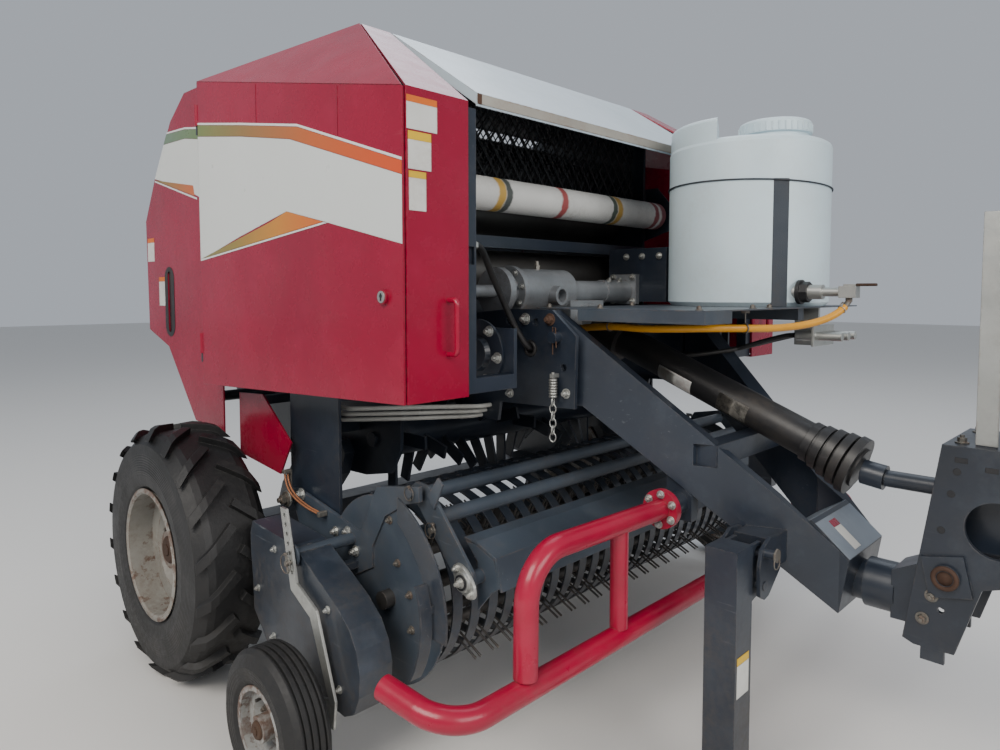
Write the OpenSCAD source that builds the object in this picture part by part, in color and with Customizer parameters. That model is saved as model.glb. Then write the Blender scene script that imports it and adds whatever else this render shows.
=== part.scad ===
// Round baler, trailed, fixed chamber. Millimetres. Forward is -Y, up is +Z, the machine's right is -X.
// Heights are above the ground. Lengths are from the main axle until place() shifts them to the box's middle.

/* [Body] */
// outside of the side covers from the middle
cover_x = 1000; // [900:1:1100]
// inner edge of a front face
face_x = 800; // [700:1:860]
// half width inside the chamber
chamber_x = 610; // [550:1:640]
// thickness of the chamber's walls
wall_t = 12; // [6:1:16]
// thickness of cover sheets
sheet = 6; // [3:1:10]
// chamber centre behind the axle
ch_y = 30; // [-50:1:100]
// chamber centre above the ground
ch_z = 1290; // [1200:1:1400]
// circle of the chamber's rollers
roll_r = 598; // [560:1:640]
// diameter of a chamber roller
roll_d = 180; // [120:1:220]
// feed rotor, along
rotor_y = -440; // [-500:1:-400]
// feed rotor, up
rotor_z = 780; // [700:1:850]

/* [Covers] */
// front corner of the side covers
cov_f = -1110; // [-1200:1:-1000]
// rear edge of the side doors
cov_r = 14; // [-40:1:60]
// lower edge of the covers at the front
cov_lf = 1012; // [950:1:1060]
// lower edge of the side doors at the rear
cov_lr = 964; // [900:1:1000]
// crease height at the front
crease_f = 1757; // [1700:1:1800]
// crease height at the rear
crease_r = 1987; // [1900:1:2050]
// half width of the roof's ridge
apex_x = 765; // [700:1:800]
// ridge, along
apex_y = -600; // [-650:1:-550]
// ridge height
apex_z = 2085; // [2040:1:2150]
// half width of the hood
hood_x = 650; // [600:1:700]
// front edge of the hood
hood_f = -985; // [-1050:1:-900]
// height of the hood's front edge
hood_lo = 1830; // [1780:1:1880]
// tailgate hinge, along
hinge_y = -30; // [-60:1:0]
// tailgate hinge, up
hinge_z = 1930; // [1880:1:1980]

/* [Wheels] */
// main tyre over its lugs
tyre_d = 836; // [780:1:920]
// main tyre width
tyre_w = 256; // [220:1:320]
// depth of a lug
lug_h = 22; // [10:1:40]
// main wheel from the middle
wheel_x = 1085; // [1000:1:1150]
// tyre's inner diameter
rim_d = 410; // [360:1:440]
// gauge tyre
gauge_d = 386; // [340:1:440]
// gauge tyre width
gauge_w = 122; // [90:1:150]
// gauge wheel from the middle
gauge_x = 1190; // [1150:1:1250]
// gauge wheel along the machine
gauge_y = -810; // [-900:1:-700]
// gauge rim
gauge_rim = 200; // [150:1:250]

/* [Pickup] */
// band centre, along
band_y = -830; // [-950:1:-750]
// band centre, up
band_z = 450; // [380:1:500]
// outside of the stripper bands
band_r = 240; // [200:1:280]
// reel axis, along
reel_y = -862; // [-950:1:-800]
// reel axis, up
reel_z = 432; // [380:1:480]
// out to the tine tips
tine_r = 276; // [250:1:320]
// pitch of the bands
band_p = 67; // [55:1:80]
// bands each side of the middle one
band_n = 12; // [8:1:14]
// lift pivot, along
lift_y = -363; // [-450:1:-300]
// lift pivot, up
lift_z = 617; // [550:1:700]
// windguard pivot, along
wind_y = -965; // [-1050:1:-900]
// windguard pivot, up
wind_z = 748; // [700:1:800]

/* [Drawbar] */
// outer face of a drawbar arm at the back
arm_x = 420; // [350:1:480]
// front end of the side brackets
arm_y = -1074; // [-1150:1:-1000]
// thickness of an arm
arm_t = 60; // [40:1:80]
// turn of an arm towards the nose
arm_a = 21.86; // [15:0.01:30]
// half width of the nose
nose_x = 130; // [100:1:160]
// roll axis of the hitch above the ground
swivel_z = 505; // [450:1:560]
// diameter of the swivel's shaft
swivel_d = 80; // [60:1:100]
// yaw axis of the hitch head
yaw_y = -2235; // [-2300:1:-2100]
// half width of the hitch box
hitch_x = 140; // [110:1:170]
// power shaft at the gearbox, up
pto_zr = 1160; // [1100:1:1250]
// power shaft at the hitch, up
pto_zf = 790; // [700:1:820]

/* [Stand] */
// stand pivot from the middle
stand_x = -330; // [-400:1:-300]
// stand pivot, along
stand_y = -1630; // [-1700:1:-1550]
// stand pivot, up
stand_z = 545; // [500:1:600]
// side of the leg's square tube
leg_s = 84; // [70:1:100]

/* [Tank] */
// tank centre from the middle
tank_x = 400; // [100:1:500]
// tank centre, along
tank_y = -1272; // [-1400:1:-1200]
// tank diameter
tank_d = 540; // [400:1:620]
// tank's wall, up to its shoulder
tank_h = 530; // [400:1:560]
// tank's lid
lid_d = 240; // [160:1:260]
// lid's place from the tank's centre
lid_at = [45, -73];
// platform height
plat_z = 1232; // [1200:1:1260]

/* [Hidden] */
fy = 900.5;
// hairline left between the separate solids of one node
g = 0.2;
$fn = 48;

red = [0.62, 0.03, 0.06];
grey = [0.16, 0.17, 0.18];
white = [0.88, 0.88, 0.86];
black = [0.03, 0.03, 0.03];
zinc = [0.62, 0.62, 0.60];
bare = [0.42, 0.40, 0.37];
yellow = [0.9, 0.6, 0.05];

module place() translate([0, fy, 0]) children();
// a plate drawn as [y, z] points, from x0 and t thick toward +X
module yz(pts, x0, t) translate([x0, 0, 0]) rotate([90, 0, 90]) linear_extrude(t) polygon(pts);
// the same for any flat drawing
module yz2(x0, t) translate([x0, 0, 0]) rotate([90, 0, 90]) linear_extrude(t) children();
// a plate drawn as [x, z] points, from y0 and t thick toward +Y
module xz(pts, y0, t) translate([0, y0 + t, 0]) rotate([90, 0, 0]) linear_extrude(t) polygon(pts);
module xcyl(x, y, z, d, l) translate([x, y, z]) rotate([0, 90, 0]) cylinder(h = l, d = d, center = true);
module xrod(x0, x1, y, z, d) xcyl((x0 + x1) / 2, y, z, d, x1 - x0);
module ycyl(x, y, z, d, l) translate([x, y, z]) rotate([90, 0, 0]) cylinder(h = l, d = d, center = true);
module zcyl(x, y, z, d, l) translate([x, y, z]) cylinder(h = l, d = d);
module box(a, b) translate(a) cube(b - a);
module bar(p, q, d) {
  v = q - p; l = norm(v);
  translate(p) rotate([0, acos(v[2] / l), atan2(v[1], v[0])]) cylinder(h = l, d = d);
}
// a round pipe through points, its corners bent to radius r
function unit(v) = v / norm(v);
function turn(p, i) = acos(max(-1, min(1, unit(p[i] - p[i - 1]) * unit(p[i + 1] - p[i]))));
function trim(p, i, r) = (i == 0 || i == len(p) - 1) ? 0 : r * tan(turn(p, i) / 2);
module pipe(p, d, r) {
  for (i = [0 : len(p) - 2]) {
    u = unit(p[i + 1] - p[i]);
    bar(p[i] + u * (trim(p, i, r) + g / 2), p[i + 1] - u * (trim(p, i + 1, r) + g / 2), d);
  }
  if (len(p) > 2) for (i = [1 : len(p) - 2]) {
    u = unit(p[i] - p[i - 1]); v = unit(p[i + 1] - p[i]);
    n = unit(v - u * (u * v)); w = cross(-n, u);
    c = p[i] - u * trim(p, i, r) + n * r;
    multmatrix([[-n[0], u[0], w[0], c[0]], [-n[1], u[1], w[1], c[1]], [-n[2], u[2], w[2], c[2]], [0, 0, 0, 1]])
      rotate_extrude(angle = turn(p, i)) translate([r, 0]) circle(d = d);
  }
}
module both() { children(); mirror([1, 0, 0]) children(); }

// walls of the front half, posts, beams, hangers for the pickup and the pins of the gate's cylinders
wall_o = chamber_x + wall_t;
module chamber_walls() color(grey) place() {
  both() {
    difference() {
      yz([[cov_r - 12, 1954], [-42, 1978], [-48, 1986.5], [-110, 2000.8], [-560, 2070.5], [-700, 1960], [-700, 1180], [-600, 960], [-590, 760], [-540, 680], [-400, 650], [-120, 640], [cov_r - 12, 640]], chamber_x, wall_t);
      xcyl(chamber_x, rotor_y, rotor_z, 50.2, 60);
    }
    // post behind the front face, with its pocket and lower rail
    difference() {
      box([face_x - 36, cov_f + 10, 1016], [face_x - g, cov_f + 50, 1745]);
      box([face_x - 30, cov_f, 1350], [face_x - 6, cov_f + 22, 1396]);
    }
    box([wall_o, cov_f + 10, 1016], [face_x - 36 - g, cov_f + 50, 1056]);
    box([chamber_x, cov_f + 10, 1016], [wall_o - g, -700 - g, 1180]);
    // outriggers that carry the covers and the doors' hinges
    for (z = [1060, 1420]) box([wall_o + g, -640, z], [cover_x - 12, -600, z + 40]);
    for (z = [1070, 1840]) {
      box([wall_o + g, -24, z - 30], [940, -4, z - g]);
      box([940 + g, -24, z - 30], [978, 24, z - g]);
      box([978 + g, 12, z - 30], [cover_x + 6, 22, z - g]);
    }
    // net cheek with the spindle's bearing
    difference() {
      yz([[-700 - g, 1500], [-830, 1540], [-830, 1640], [-760, 1720], [-700 - g, 1720]], wall_o + g, sheet);
      xcyl(wall_o, -757, 1600, 31, 60);
    }
    // pickup hanger
    difference() {
      yz([[-314, 985], [-314, 590], [-345, 575], [-420, 575], [-600, 600], [-600, 780], [-598, 985]], 850, 10);
      xcyl(850, lift_y, lift_z, 30.2, 60);
    }
    box([wall_o + g, -360, 800], [850 - g, -318, 850]);
    box([wall_o + g, -570, 945], [850 - g, -530, 985]);
    // strut of the lower plate
    box([wall_o + g, -130, 890], [894 - g, -100, 920]);
    // pin and boss of the gate's cylinder, and the gate's hinge pin
    xrod(wall_o + g, 790, -330, 1000, 30);
    xrod(wall_o + g, 738, -330, 1000, 50);
    xrod(wall_o + g, 660, hinge_y, hinge_z, 30);
  }
  box([-chamber_x + g, -720, 1090], [chamber_x - g, -640, 1206]);
  // clamp of the pipes
  box([-800, -326, 850 + g], [-776, -318, 945]);
  box([-chamber_x + g, -715, 1430], [chamber_x - g, -675, 1470]);
  box([-chamber_x + g, -600, 1960], [chamber_x - g, -540, 2020]);
  // roof sheet
  yz([[apex_y + 11 + g, apex_z - 10], [apex_y + 11 + g, apex_z - 6], [-110, 2005], [-110, 2001]], -hood_x - 6 + g, 2 * (hood_x + 6 - g));
  // drive housing behind the tank
  box([344 + g, -980, plat_z + 10], [chamber_x - g, -715 - g, 1450]);
}
module axle_beam() color(grey) place() {
  z = tyre_d / 2;
  box([-900, -50, z - 50], [900, 50, z + 50]);
  both() {
    xrod(900 + g, wheel_x + 30, 0, z, 60);
    yz([[-150, z + 58], [-140, z + 50 + g], [140, z + 50 + g], [110, z + 120], [0, 660], [-20, 760], [-300, 760], [-330, 720], [-300, 640]], wall_o + g, 40);
  }
}
module rollers(angles) for (a = angles)
  xcyl(0, ch_y + roll_r * cos(a), ch_z + roll_r * sin(a), roll_d, 2 * chamber_x - 2 * g);
module front_rollers() color(bare) place() rollers([103, 127, 151, 175, 199, 258]);
module feed_rotor() color(grey) place() {
  xcyl(0, rotor_y, rotor_z, 140, 2 * chamber_x - 12);
  xcyl(0, rotor_y, rotor_z, 50, 2 * wall_o + 16);
  for (i = [-6 : 6]) yz2(i * 90 - 5, 10) translate([rotor_y, rotor_z]) for (k = [0 : 3])
    rotate(k * 90 + i * 15) translate([40, -22]) square([143, 44]);
}
module net_grille() color(black) place() {
  for (z = [1565, 1945]) box([-chamber_x + g, -655, z], [chamber_x - g, -643, z + 14]);
  for (s = [-1, 1]) intersection() {
    box([-600, -660, 1579 + g], [600, -640, 1945 - g]);
    for (i = [-13 : 13]) translate([i * 60, -649 + s * 3, 1765]) rotate([0, s * 38, 0]) cube([7, 4, 620], center = true);
  }
}
module net_roll() color(white) place() {
  xcyl(0, -757, 1600, 110, 1218);
  xcyl(0, -757, 1600, 30, 2 * wall_o + 12);
}
module hood() color(white) place() {
  yz([[apex_y - 3 - g, apex_z - 7], [apex_y - 3 - g, apex_z - 2], [hood_f, hood_lo], [hood_f, hood_lo - 36], [hood_f + 5, hood_lo - 36], [hood_f + 5, hood_lo - 3]], -hood_x, 2 * hood_x);
  both() yz([[apex_y - 24, apex_z - 18], [hood_f + 5 + g, hood_lo - 1], [hood_f + 5 + g, hood_lo - 30], [apex_y - 24, apex_z - 44]], hood_x - 5, 5);
  xcyl(0, apex_y + 4, apex_z - 6, 14, 2 * hood_x - 40);
}
// a sheet through four corners that lie in one plane, thick along v
module quad(p, v) polyhedron(points = concat(p, [for (q = p) q + v]),
  faces = [[3, 2, 1, 0], [4, 5, 6, 7], [0, 1, 5, 4], [1, 2, 6, 5], [2, 3, 7, 6], [3, 0, 4, 7]]);
module fixed_covers() color(red) place() both() {
  box([face_x, cov_f, cov_lf], [cover_x - 3, cov_f + sheet, crease_f - 1]);
  quad([[face_x, cov_f, crease_f], [cover_x - 3, cov_f, crease_f], [apex_x - 3, apex_y, apex_z], [hood_x + 6, apex_y, apex_z]], [0, 0, -8]);
  // fold under the front face
  box([face_x, cov_f + sheet + g, cov_lf], [cover_x - 12, cov_f + 40, cov_lf + 4]);
  // grab handle
  pipe([[870, cov_f - g, 1260], [870, cov_f - 34, 1260], [870, cov_f - 34, 1126], [870, cov_f - g, 1126]], 14, 14);
  // plate behind the lift arm
  yz([[-35, 928], [-203, 938], [-387, 800], [-317, 688], [-35, 715]], 894, sheet);
  // strip along the roof's edge
  quad([[hood_x + 6, apex_y + 6, apex_z], [apex_x - 3, apex_y + 6, apex_z], [920, -110, 2007], [hood_x + 6, -110, 2007]], [0, 0, -6]);
}
module side_door() color(red) place() {
  yz([[cov_f + 4, cov_lf], [cov_r - 6, cov_lr], [cov_r - 6, crease_r - 2], [cov_f + 4, crease_f - 2]], cover_x, sheet);
  a = [cover_x + sheet, cov_f + 4, crease_f]; b = [cover_x + sheet, cov_r - 6, crease_r]; c = [apex_x + 4, apex_y, apex_z];
  n = unit(cross(b - a, c - a)) * 5;
  polyhedron(points = [a, b, c, a - n, b - n, c - n], faces = [[2, 1, 0], [3, 4, 5], [0, 1, 4, 3], [1, 2, 5, 4], [2, 0, 3, 5]]);
  // latch and hinge barrels
  xrod(cover_x + sheet + g, cover_x + sheet + 9, -1033, 1268, 36);
  for (z = [1070, 1840]) zcyl(cover_x + 3, cov_r + 3, z, 17.6, 70);
}
module side_door_right() mirror([1, 0, 0]) side_door();
module side_door_left() side_door();
// rear half
module tail_frame() color(grey) place() {
  both() {
    yz(concat([[cov_r, 1965]], [for (a = [72 : -9 : -72]) [ch_y + 694 * cos(a), ch_z + 694 * sin(a)]], [[cov_r, 660]]), chamber_x, wall_t);
    for (p = [[300, 1850], [600, 1440], [590, 1170], [250, 880]]) xrod(wall_o + g, 924 - g, p[0], p[1], 40);
    // hinge lug
    difference() {
      yz([[-62, 1950], [-62, 1912], [-30, 1894], [90, 1820], [90, 1960]], wall_o + 8, 14);
      xcyl(wall_o, hinge_y, hinge_z, 30.2, 80);
    }
    box([wall_o + g, 30, 1830], [wall_o + 8 - g, 90, 1940]);
    // boss behind the cylinder's rod
    xrod(wall_o + g, 738, cyl_b[0], cyl_b[1], 60);
  }
  for (p = [[300, 1897], [411, 745]]) xcyl(0, p[0], p[1], 50, 2 * chamber_x - 2 * g);
}
module tail_rollers() color(bare) place() rollers([77, 53, 29, 5, -19, -43, -67]);
module tail_covers() color(red) place() both() difference() {
  yz([[cov_r + 12, 2015], [300, 2018], [436, 1935], [604, 1739], [716, 1571], [706, 1125], [507, 1064], [265, 796], [cov_r + 12, 778]], 924, sheet);
  yz([[470, 1117], [500, 1117], [500, 1374], [470, 1374]], 900, 60);
}
cyl_x = 765;
cyl_a = [-330, 1000];
cyl_b = [330, 1560];
cyl_u = unit(cyl_b - cyl_a);
function cp(s, p) = [s * cyl_x, p[0], p[1]];
module gate_barrel(s) color(grey) place() difference() {
  union() {
    bar(cp(s, cyl_a + cyl_u * 26), cp(s, cyl_a + cyl_u * 530), 76);
    bar(cp(s, cyl_a + cyl_u * 522), cp(s, cyl_a + cyl_u * 555), 86);
    xcyl(s * cyl_x, cyl_a[0], cyl_a[1], 66, 44);
  }
  bar(cp(s, cyl_a + cyl_u * 48), cp(s, cyl_a + cyl_u * 600), 36.2);
  xcyl(s * cyl_x, cyl_a[0], cyl_a[1], 30.2, 60);
}
module gate_rod(s) color(zinc) place() difference() {
  union() {
    bar(cp(s, cyl_a + cyl_u * 60), cp(s, cyl_b - cyl_u * 24), 36);
    xcyl(s * cyl_x, cyl_b[0], cyl_b[1], 62, 44);
  }
  xcyl(s * cyl_x, cyl_b[0], cyl_b[1], 31, 60);
}
// the open end of the linkage: this pin stays with the rod
module gate_pin(s) color(zinc) place() xcyl(s * (764 + g / 2), cyl_b[0], cyl_b[1], 30.6, 52 - g);
module gate_barrel_right() gate_barrel(-1);
module gate_barrel_left() gate_barrel(1);
module gate_rod_right() { gate_rod(-1); gate_pin(-1); }
module gate_rod_left() { gate_rod(1); gate_pin(1); }

// gearbox on the cross shaft's housing
box_y = -800;
box_z = 1283;
module gearbox() color(bare) place() {
  xrod(-770, -400, box_y, box_z, 40);
  xrod(-400, -374, box_y, box_z, 156);
  xrod(-374, -340, box_y, box_z, 110);
  xrod(-340, -319, box_y, box_z, 168);
  xrod(-319, -60, box_y, box_z, 150);
  difference() {
    ycyl(-180, -850, 1268, 66, 110);
    ycyl(-180, -890, 1268, 44, 60);
  }
  box([-95, -872, 1080], [95, -745 - g, 1250]);
  ycyl(0, -885, pto_zr + 10, 140, 34);
  xrod(-60, 172, box_y, box_z, 77);
  xrod(172, 320, box_y, box_z, 86);
  box([320, box_y - 60, box_z - 50], [344, box_y + 60, box_z + 66]);
  // bearing on the side bracket
  xrod(-446, -432 - g, -810, 1060, 188);
  xrod(-470, -446, -810, 1060, 120);
}
module drawbar() color(grey) place() {
  both() {
    difference() {
      yz([[-720 - g, 1212], [-905, plat_z - 4 - g], [arm_y, plat_z - 4 - g], [-1165, 1153], [-1160, 942], [-860, 933], [-850, 872], [-760, 872], [-720 - g, 930]], arm_x, 12);
      xcyl(arm_x, -990, 1110, 50, 60);
      for (p = [[-1010, 1190], [-900, 1190], [-1120, 1060]]) xcyl(arm_x, p[0], p[1], 22, 60);
    }
    // pin through the bracket
    xrod(arm_x + 12 + g, arm_x + 40, -1095, 1148, 34);
    // box section inside the bracket
    yz([[-745 - g, 962], [-745 - g, 1200], [arm_y + 30, 1224], [arm_y + 30, 950]], arm_x - arm_t, arm_t - g);
  }
  // arms, cut for the nose, the cross tube and the stand's bracket
  difference() {
    both() translate([arm_x - g, arm_y, 0]) rotate([0, 0, -arm_a])
      yz([[0, 1226], [-707, 670], [-804, 590], [-779, 444], [-87, 946], [0, 946]], -arm_t, arm_t);
    box([-nose_x - g, -2000, 300], [nose_x + g, -1640, 800]);
    box([-300, -1510 - g, 800 - g], [300, -1450 + g, 860 + g]);
    box([-400, stand_y - 48, 566 - g], [-100, stand_y + 48, 650 + g]);
  }
  box([-arm_x + g, -745, 960], [arm_x - g, -721, 1200]);
  // lugs and stubs of the crop guard
  both() {
    yz([[-1370, 776], [-1450, 714], [-1450, 640], [-1370, 640]], 240, 35);
    xrod(275 + g, 352 - g, -1410, 690, 60);
  }
  // nose with the swivel's socket
  difference() {
    union() {
      yz([[-1722, 676], [-1730, 668], [-1820, 590], [-1797, 446], [-1700, 500], [-1640 - g, 566], [-1640 - g, 620]], -nose_x, 2 * nose_x);
      ycyl(0, -1763, swivel_z, 106, 130);
    }
    ycyl(0, -1720, swivel_z, swivel_d + 0.1, 300);
  }
  box([-250, -1510, 800], [250, -1450, 860]);
  // bracket and ears of the stand
  box([-285, stand_y - 48 + g, 566], [-150, stand_y + 48 - g, 650]);
  for (s = [-1, 1]) difference() {
    xz([[-358, 600], [-354, 524], [-330, 510], [-306, 514], [-240, 566], [-240, 655], [-300, 662], [-345, 640]], stand_y + s * 53 - 5, 10);
    ycyl(stand_x, stand_y, stand_z, 24.2, 200);
    ycyl(stand_x, stand_y, stand_z + 85, 24.2, 200);
  }
  ycyl(stand_x, stand_y - 67, stand_z + 85, 24, 36);
}
module platform() color(grey) place() {
  box([-372, -1535, plat_z - 4], [740, -960, plat_z]);
  box([-372, -1535, plat_z - 37], [-366, -1122, plat_z - 4 - g]);
  box([-366 + g, -1535, plat_z - 37], [-225, -1529, plat_z - 4 - g]);
  box([300, -1500, plat_z - 44], [344, -985, plat_z - 4 - g]);
  box([432 + g, -1060, 1010], [445, -985, plat_z - 4 - g]);
  box([446, -960, plat_z - 60], [600, -721 - g, plat_z - 4 - g]);
}
module tank() color(white) place() {
  translate([tank_x, tank_y, plat_z + g]) difference() {
    rotate_extrude() polygon([[0, 0], [tank_d / 2 - 14, 0], [tank_d / 2, 14], [tank_d / 2, tank_h], [tank_d / 2 - 5, tank_h + 12], [tank_d / 2 - 18, tank_h + 20], [0, tank_h + 28]]);
    translate([0, 0, 8]) cylinder(h = tank_h - 15, d = tank_d - 16);
    translate([lid_at[0], lid_at[1], tank_h - 30]) cylinder(h = 100, d = lid_d - 40);
  }
  // raised crescent beside the lid
  translate([tank_x, tank_y, plat_z + tank_h - 4]) rotate([0, 0, 116]) difference() {
    rotate_extrude() polygon([[0, 0], [tank_d / 2 - 4, 0], [tank_d / 2 - 4, 78], [tank_d / 2 - 8, 85], [tank_d / 2 - 16, 90], [0, 90]]);
    rotate([0, 0, -116]) translate([lid_at[0], lid_at[1], -1]) cylinder(h = 100, d = lid_d + 160);
    translate([-400, -400, -1]) cube([500, 800, 100]);
  }
  // lid
  translate([tank_x + lid_at[0], tank_y + lid_at[1], plat_z + tank_h + 19])
    rotate_extrude() polygon([[0, 0], [lid_d / 2 - 8, 0], [lid_d / 2 - 8, 36], [lid_d / 2, 40], [lid_d / 2, 74], [lid_d / 2 - 4, 81], [lid_d / 2 - 12, 85], [0, 88]]);
}
module hose_fittings() color(zinc) place() {
  // outlet, valve and lever under the tank's front
  difference() {
    ycyl(272, -1538, 1280, 46, 100);
    zcyl(tank_x, tank_y, 1200, tank_d + 2 * g, 400);
  }
  ycyl(272, -1614, 1280, 28, 60);
  box([252, -1690, 1262], [292, -1640, 1298]);
  box([264, -1740, 1298 + g], [280, -1650, 1304]);
  // rack of couplers under the platform
  box([420, -1520, 1100], [432, -1440, plat_z - 4 - g]);
  box([360, -1528, 1100], [540, -1520 - g, 1168]);
  for (i = [0 : 2]) {
    ycyl(385 + i * 60, -1569 - g, 1134, 28, 82);
    ycyl(385 + i * 60, -1491, 1134, 32, 58);
  }
}
module tank_hose() color(yellow) place()
  pipe([[272, -1665, 1262 - g], [272, -1665, 1236], [140, -1600, 1200], [-107, -1520, 1180], [-225, -1440, 1176], [-230, -1150, 1176]], 22, 18);
module pipes() color(white) place()
  for (i = [0 : 2]) pipe([[-790, -326 - g, 890 + i * 20], [-790, -350, 890 + i * 20], [-770, -480 - i * 20, 870 + i * 20], [-610, -650 - i * 20, 876 + i * 20], [-472, -776 - i * 20, 882 + i * 18], [-432 - g, -776 - i * 20, 882 + i * 18]], 14, 40);
module spring_chain() color(zinc) place() {
  // eye bolt on the bracket, spring and the chain under it
  zcyl(-452, -1096, 972, 10, 74);
  box([-460, -1102, 1030], [-432 - g, -1090, 1042]);
  for (i = [0 : 6]) translate([-452, -1096, 976 + i * 8]) rotate_extrude() translate([9, 0]) circle(d = 7.6, $fn = 12);
  for (i = [0 : 5]) translate([-452, -1096, 960 - i * 21]) rotate([0, 0, i % 2 * 90 + 20]) rotate([90, 0, 0]) scale([0.72, 1, 1]) rotate_extrude($fn = 20) translate([13, 0]) circle(d = 5.4, $fn = 8);
}
module crop_guard() color(red) place() {
  both() {
    pipe([[372, -1410, 690], [908, -1410, 702], [912, -1410, 430 + g]], 56, 110);
    bar([560, -1410, 692], [560, -1410, 425], 46);
    xrod(352, 372, -1410, 690, 108);
  }
  pipe([[-1160, -1225, 436], [-1128, -1410, 402], [1128, -1410, 402], [1160, -1225, 436]], 56, 110);
}
// plates, tubes and covers of the pickup
module pickup_frame() color(grey) place() {
  both() {
    difference() {
      union() {
        yz([[lift_y + 30, lift_z - 10], [lift_y + 24, lift_z + 24], [lift_y - 20, lift_z + 32], [-720, 590], [-740, 600], [-813, 738], [-1000, 772], [-1000, 730], [-940, 712], [-850, 660], [-790, 560], [-790, 500], [-560, 380], [-470, 380], [lift_y, lift_z - 30]], 865, 12);
        xrod(865, 871, band_y, band_z, 524);
        yz([[-760, 250], [-680, 204], [-655, 204], [-655, 225], [-700, 280]], 865, 6);
      }
      xcyl(865, wind_y, wind_z, 24.2, 60);
      xcyl(865, reel_y, reel_z, 50.2, 60);
    }
    xrod(845, 900, lift_y, lift_z, 30);
    // gauge wheel tube with its flange
    xrod(877 + g, 1076, -690, 560, 34);
    xrod(1066, 1072, -690, 560, 66);
    xrod(1084 + g, gauge_x + 40, gauge_y, gauge_d / 2, 30);
  }
  xcyl(0, -520, 430, 70, 2 * 865 - 2 * g);
}
shield = [[-440, 330], [-436, 418], [-426, 500], [-425, 560], [-440, 598], [-677, 582], [-817, 513], [-890, 474], [-945, 432], [-976, 385], [-990, 330], [-986, 270], [-962, 218], [-920, 196], [-700, 205], [-520, 250]];
module pickup_shields() color(grey) place() both() {
  difference() {
    yz(shield, 960, 100);
    yz([for (p = shield) [(p[0] + 720) * 0.965 - 720, (p[1] - 400) * 0.965 + 400]], 950, 104);
    xcyl(1005, -690, 560, 34.4, 120);
  }
  // bent strip round the drum
  yz2(920, 36) intersection() {
    difference() { translate([band_y, band_z]) circle(r = 272); translate([band_y, band_z]) circle(r = 265); }
    translate([band_y - 300, band_z - 150]) square([200, 250]);
  }
  // crescent plate
  yz2(905, 6) difference() {
    translate([band_y, band_z]) circle(r = 314);
    translate([band_y + 64, band_z - 30]) circle(r = 314);
    translate([-1400, -100]) square([1400, 505]);
    translate([-950, 0]) square([900, 1500]);
  }
  // rails and blocks that carry them
  box([877 + g, -720, 480], [1054 - g, -690, 500]);
  box([871 + g, -800, 330], [1054 - g, -770, 350]);
  box([871 + g, -1070, 555], [905 - g, -1045, 580]);
  box([911 + g, -1100, 476], [920 - g, -1088, 496]);
}
module pickup_bands() color(grey) place() {
  for (i = [-band_n : band_n]) yz2(i * band_p - 17, 34) {
    difference() {
      translate([band_y, band_z]) circle(r = band_r);
      translate([band_y, band_z]) circle(r = band_r - 5);
      translate([band_y, band_z - 300]) square([300, 600]);
    }
    translate([band_y, band_z + band_r - 5]) square([130, 5]);
    translate([band_y, band_z - band_r]) square([160, 5]);
  }
  box([-865 + g, -740, band_z + band_r - 5], [865 - g, -722, band_z + band_r]);
  box([-865 + g, -684, band_z - band_r], [865 - g, -664, band_z - band_r + 5]);
}
module pickup_reel() color(zinc) place() {
  xcyl(0, reel_y, reel_z, 50, 1800);
  for (x = [-800, -400, 0, 400, 800]) xcyl(x, reel_y, reel_z, 300, 6);
  for (k = [0 : 3]) translate([0, reel_y, reel_z]) rotate([k * 90 + 25, 0, 0]) {
    xcyl(0, 0, 140, 32, 1690);
    for (i = [-band_n : band_n - 1]) for (s = [-9, 9])
      translate([(i + 0.5) * band_p + s, 0, 140]) cylinder(h = tine_r - 140, d = 6.5);
  }
}
module windguard() color(grey) place() {
  xcyl(0, -946, 731, 40, 1680 - 2 * g);
  xcyl(0, -1026, 687, 40, 1680 - 2 * g);
  xcyl(0, -1150, 556, 36, 1680 - 2 * g);
  both() {
    difference() {
      yz([[-925, 712], [-925, 750], [-955, 772], [-1005, 768], [-1175, 580], [-1180, 548], [-1150, 528], [-1120, 540], [-960, 712]], 840, 10);
      xcyl(840, wind_y, wind_z, 16, 8);
    }
    xrod(850 + g, 884, wind_y, wind_z, 24);
    // slotted adjuster
    yz([[-1008, 745], [-1050, 800], [-1070, 785], [-1035, 715]], 850 + g, 6);
  }
  yz([[-1090, 642], [-1135, 640], [-1207, 614], [-1228, 533], [-1222, 532], [-1202, 609], [-1134, 634], [-1090, 636]], -800, 1600);
  both() yz([[-1096, 634], [-1134, 632], [-1200, 608], [-1220, 540], [-1190, 520], [-1142, 463], [-1140, 590]], 794, 6);
}
module gauge_bars() color(zinc) place() both() difference() {
  yz([[-652, 690], [-683, 690], [-731, 498], [-829, 452], [-914, 240], [-905, 165], [-795, 165], [-795, 212], [-884, 238], [-800, 425], [-702, 472]], 1076 + g, 8);
  for (i = [0 : 6]) xcyl(1080, -674 - i * 6, 672 - i * 25, 11, 60);
}
pto_a = [0, -925, pto_zr];
pto_b = [0, -1800, pto_zf + 14];
pto_u = unit(pto_b - pto_a);
module power_shaft() color(black) place() {
  bar(pto_a + pto_u * 12, pto_a + pto_u * 120, 150);
  bar(pto_a + pto_u * 120, pto_b - pto_u * 150, 104);
  for (i = [0 : 4]) bar(pto_b - pto_u * (150 - i * 30), pto_b - pto_u * (128 - i * 30), 118 + i * 12);
  bar(pto_b - pto_u * 150, pto_b - pto_u * 0.9, 112);
  zcyl(0, -925, pto_zr - 14, 28, 28);
}
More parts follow.
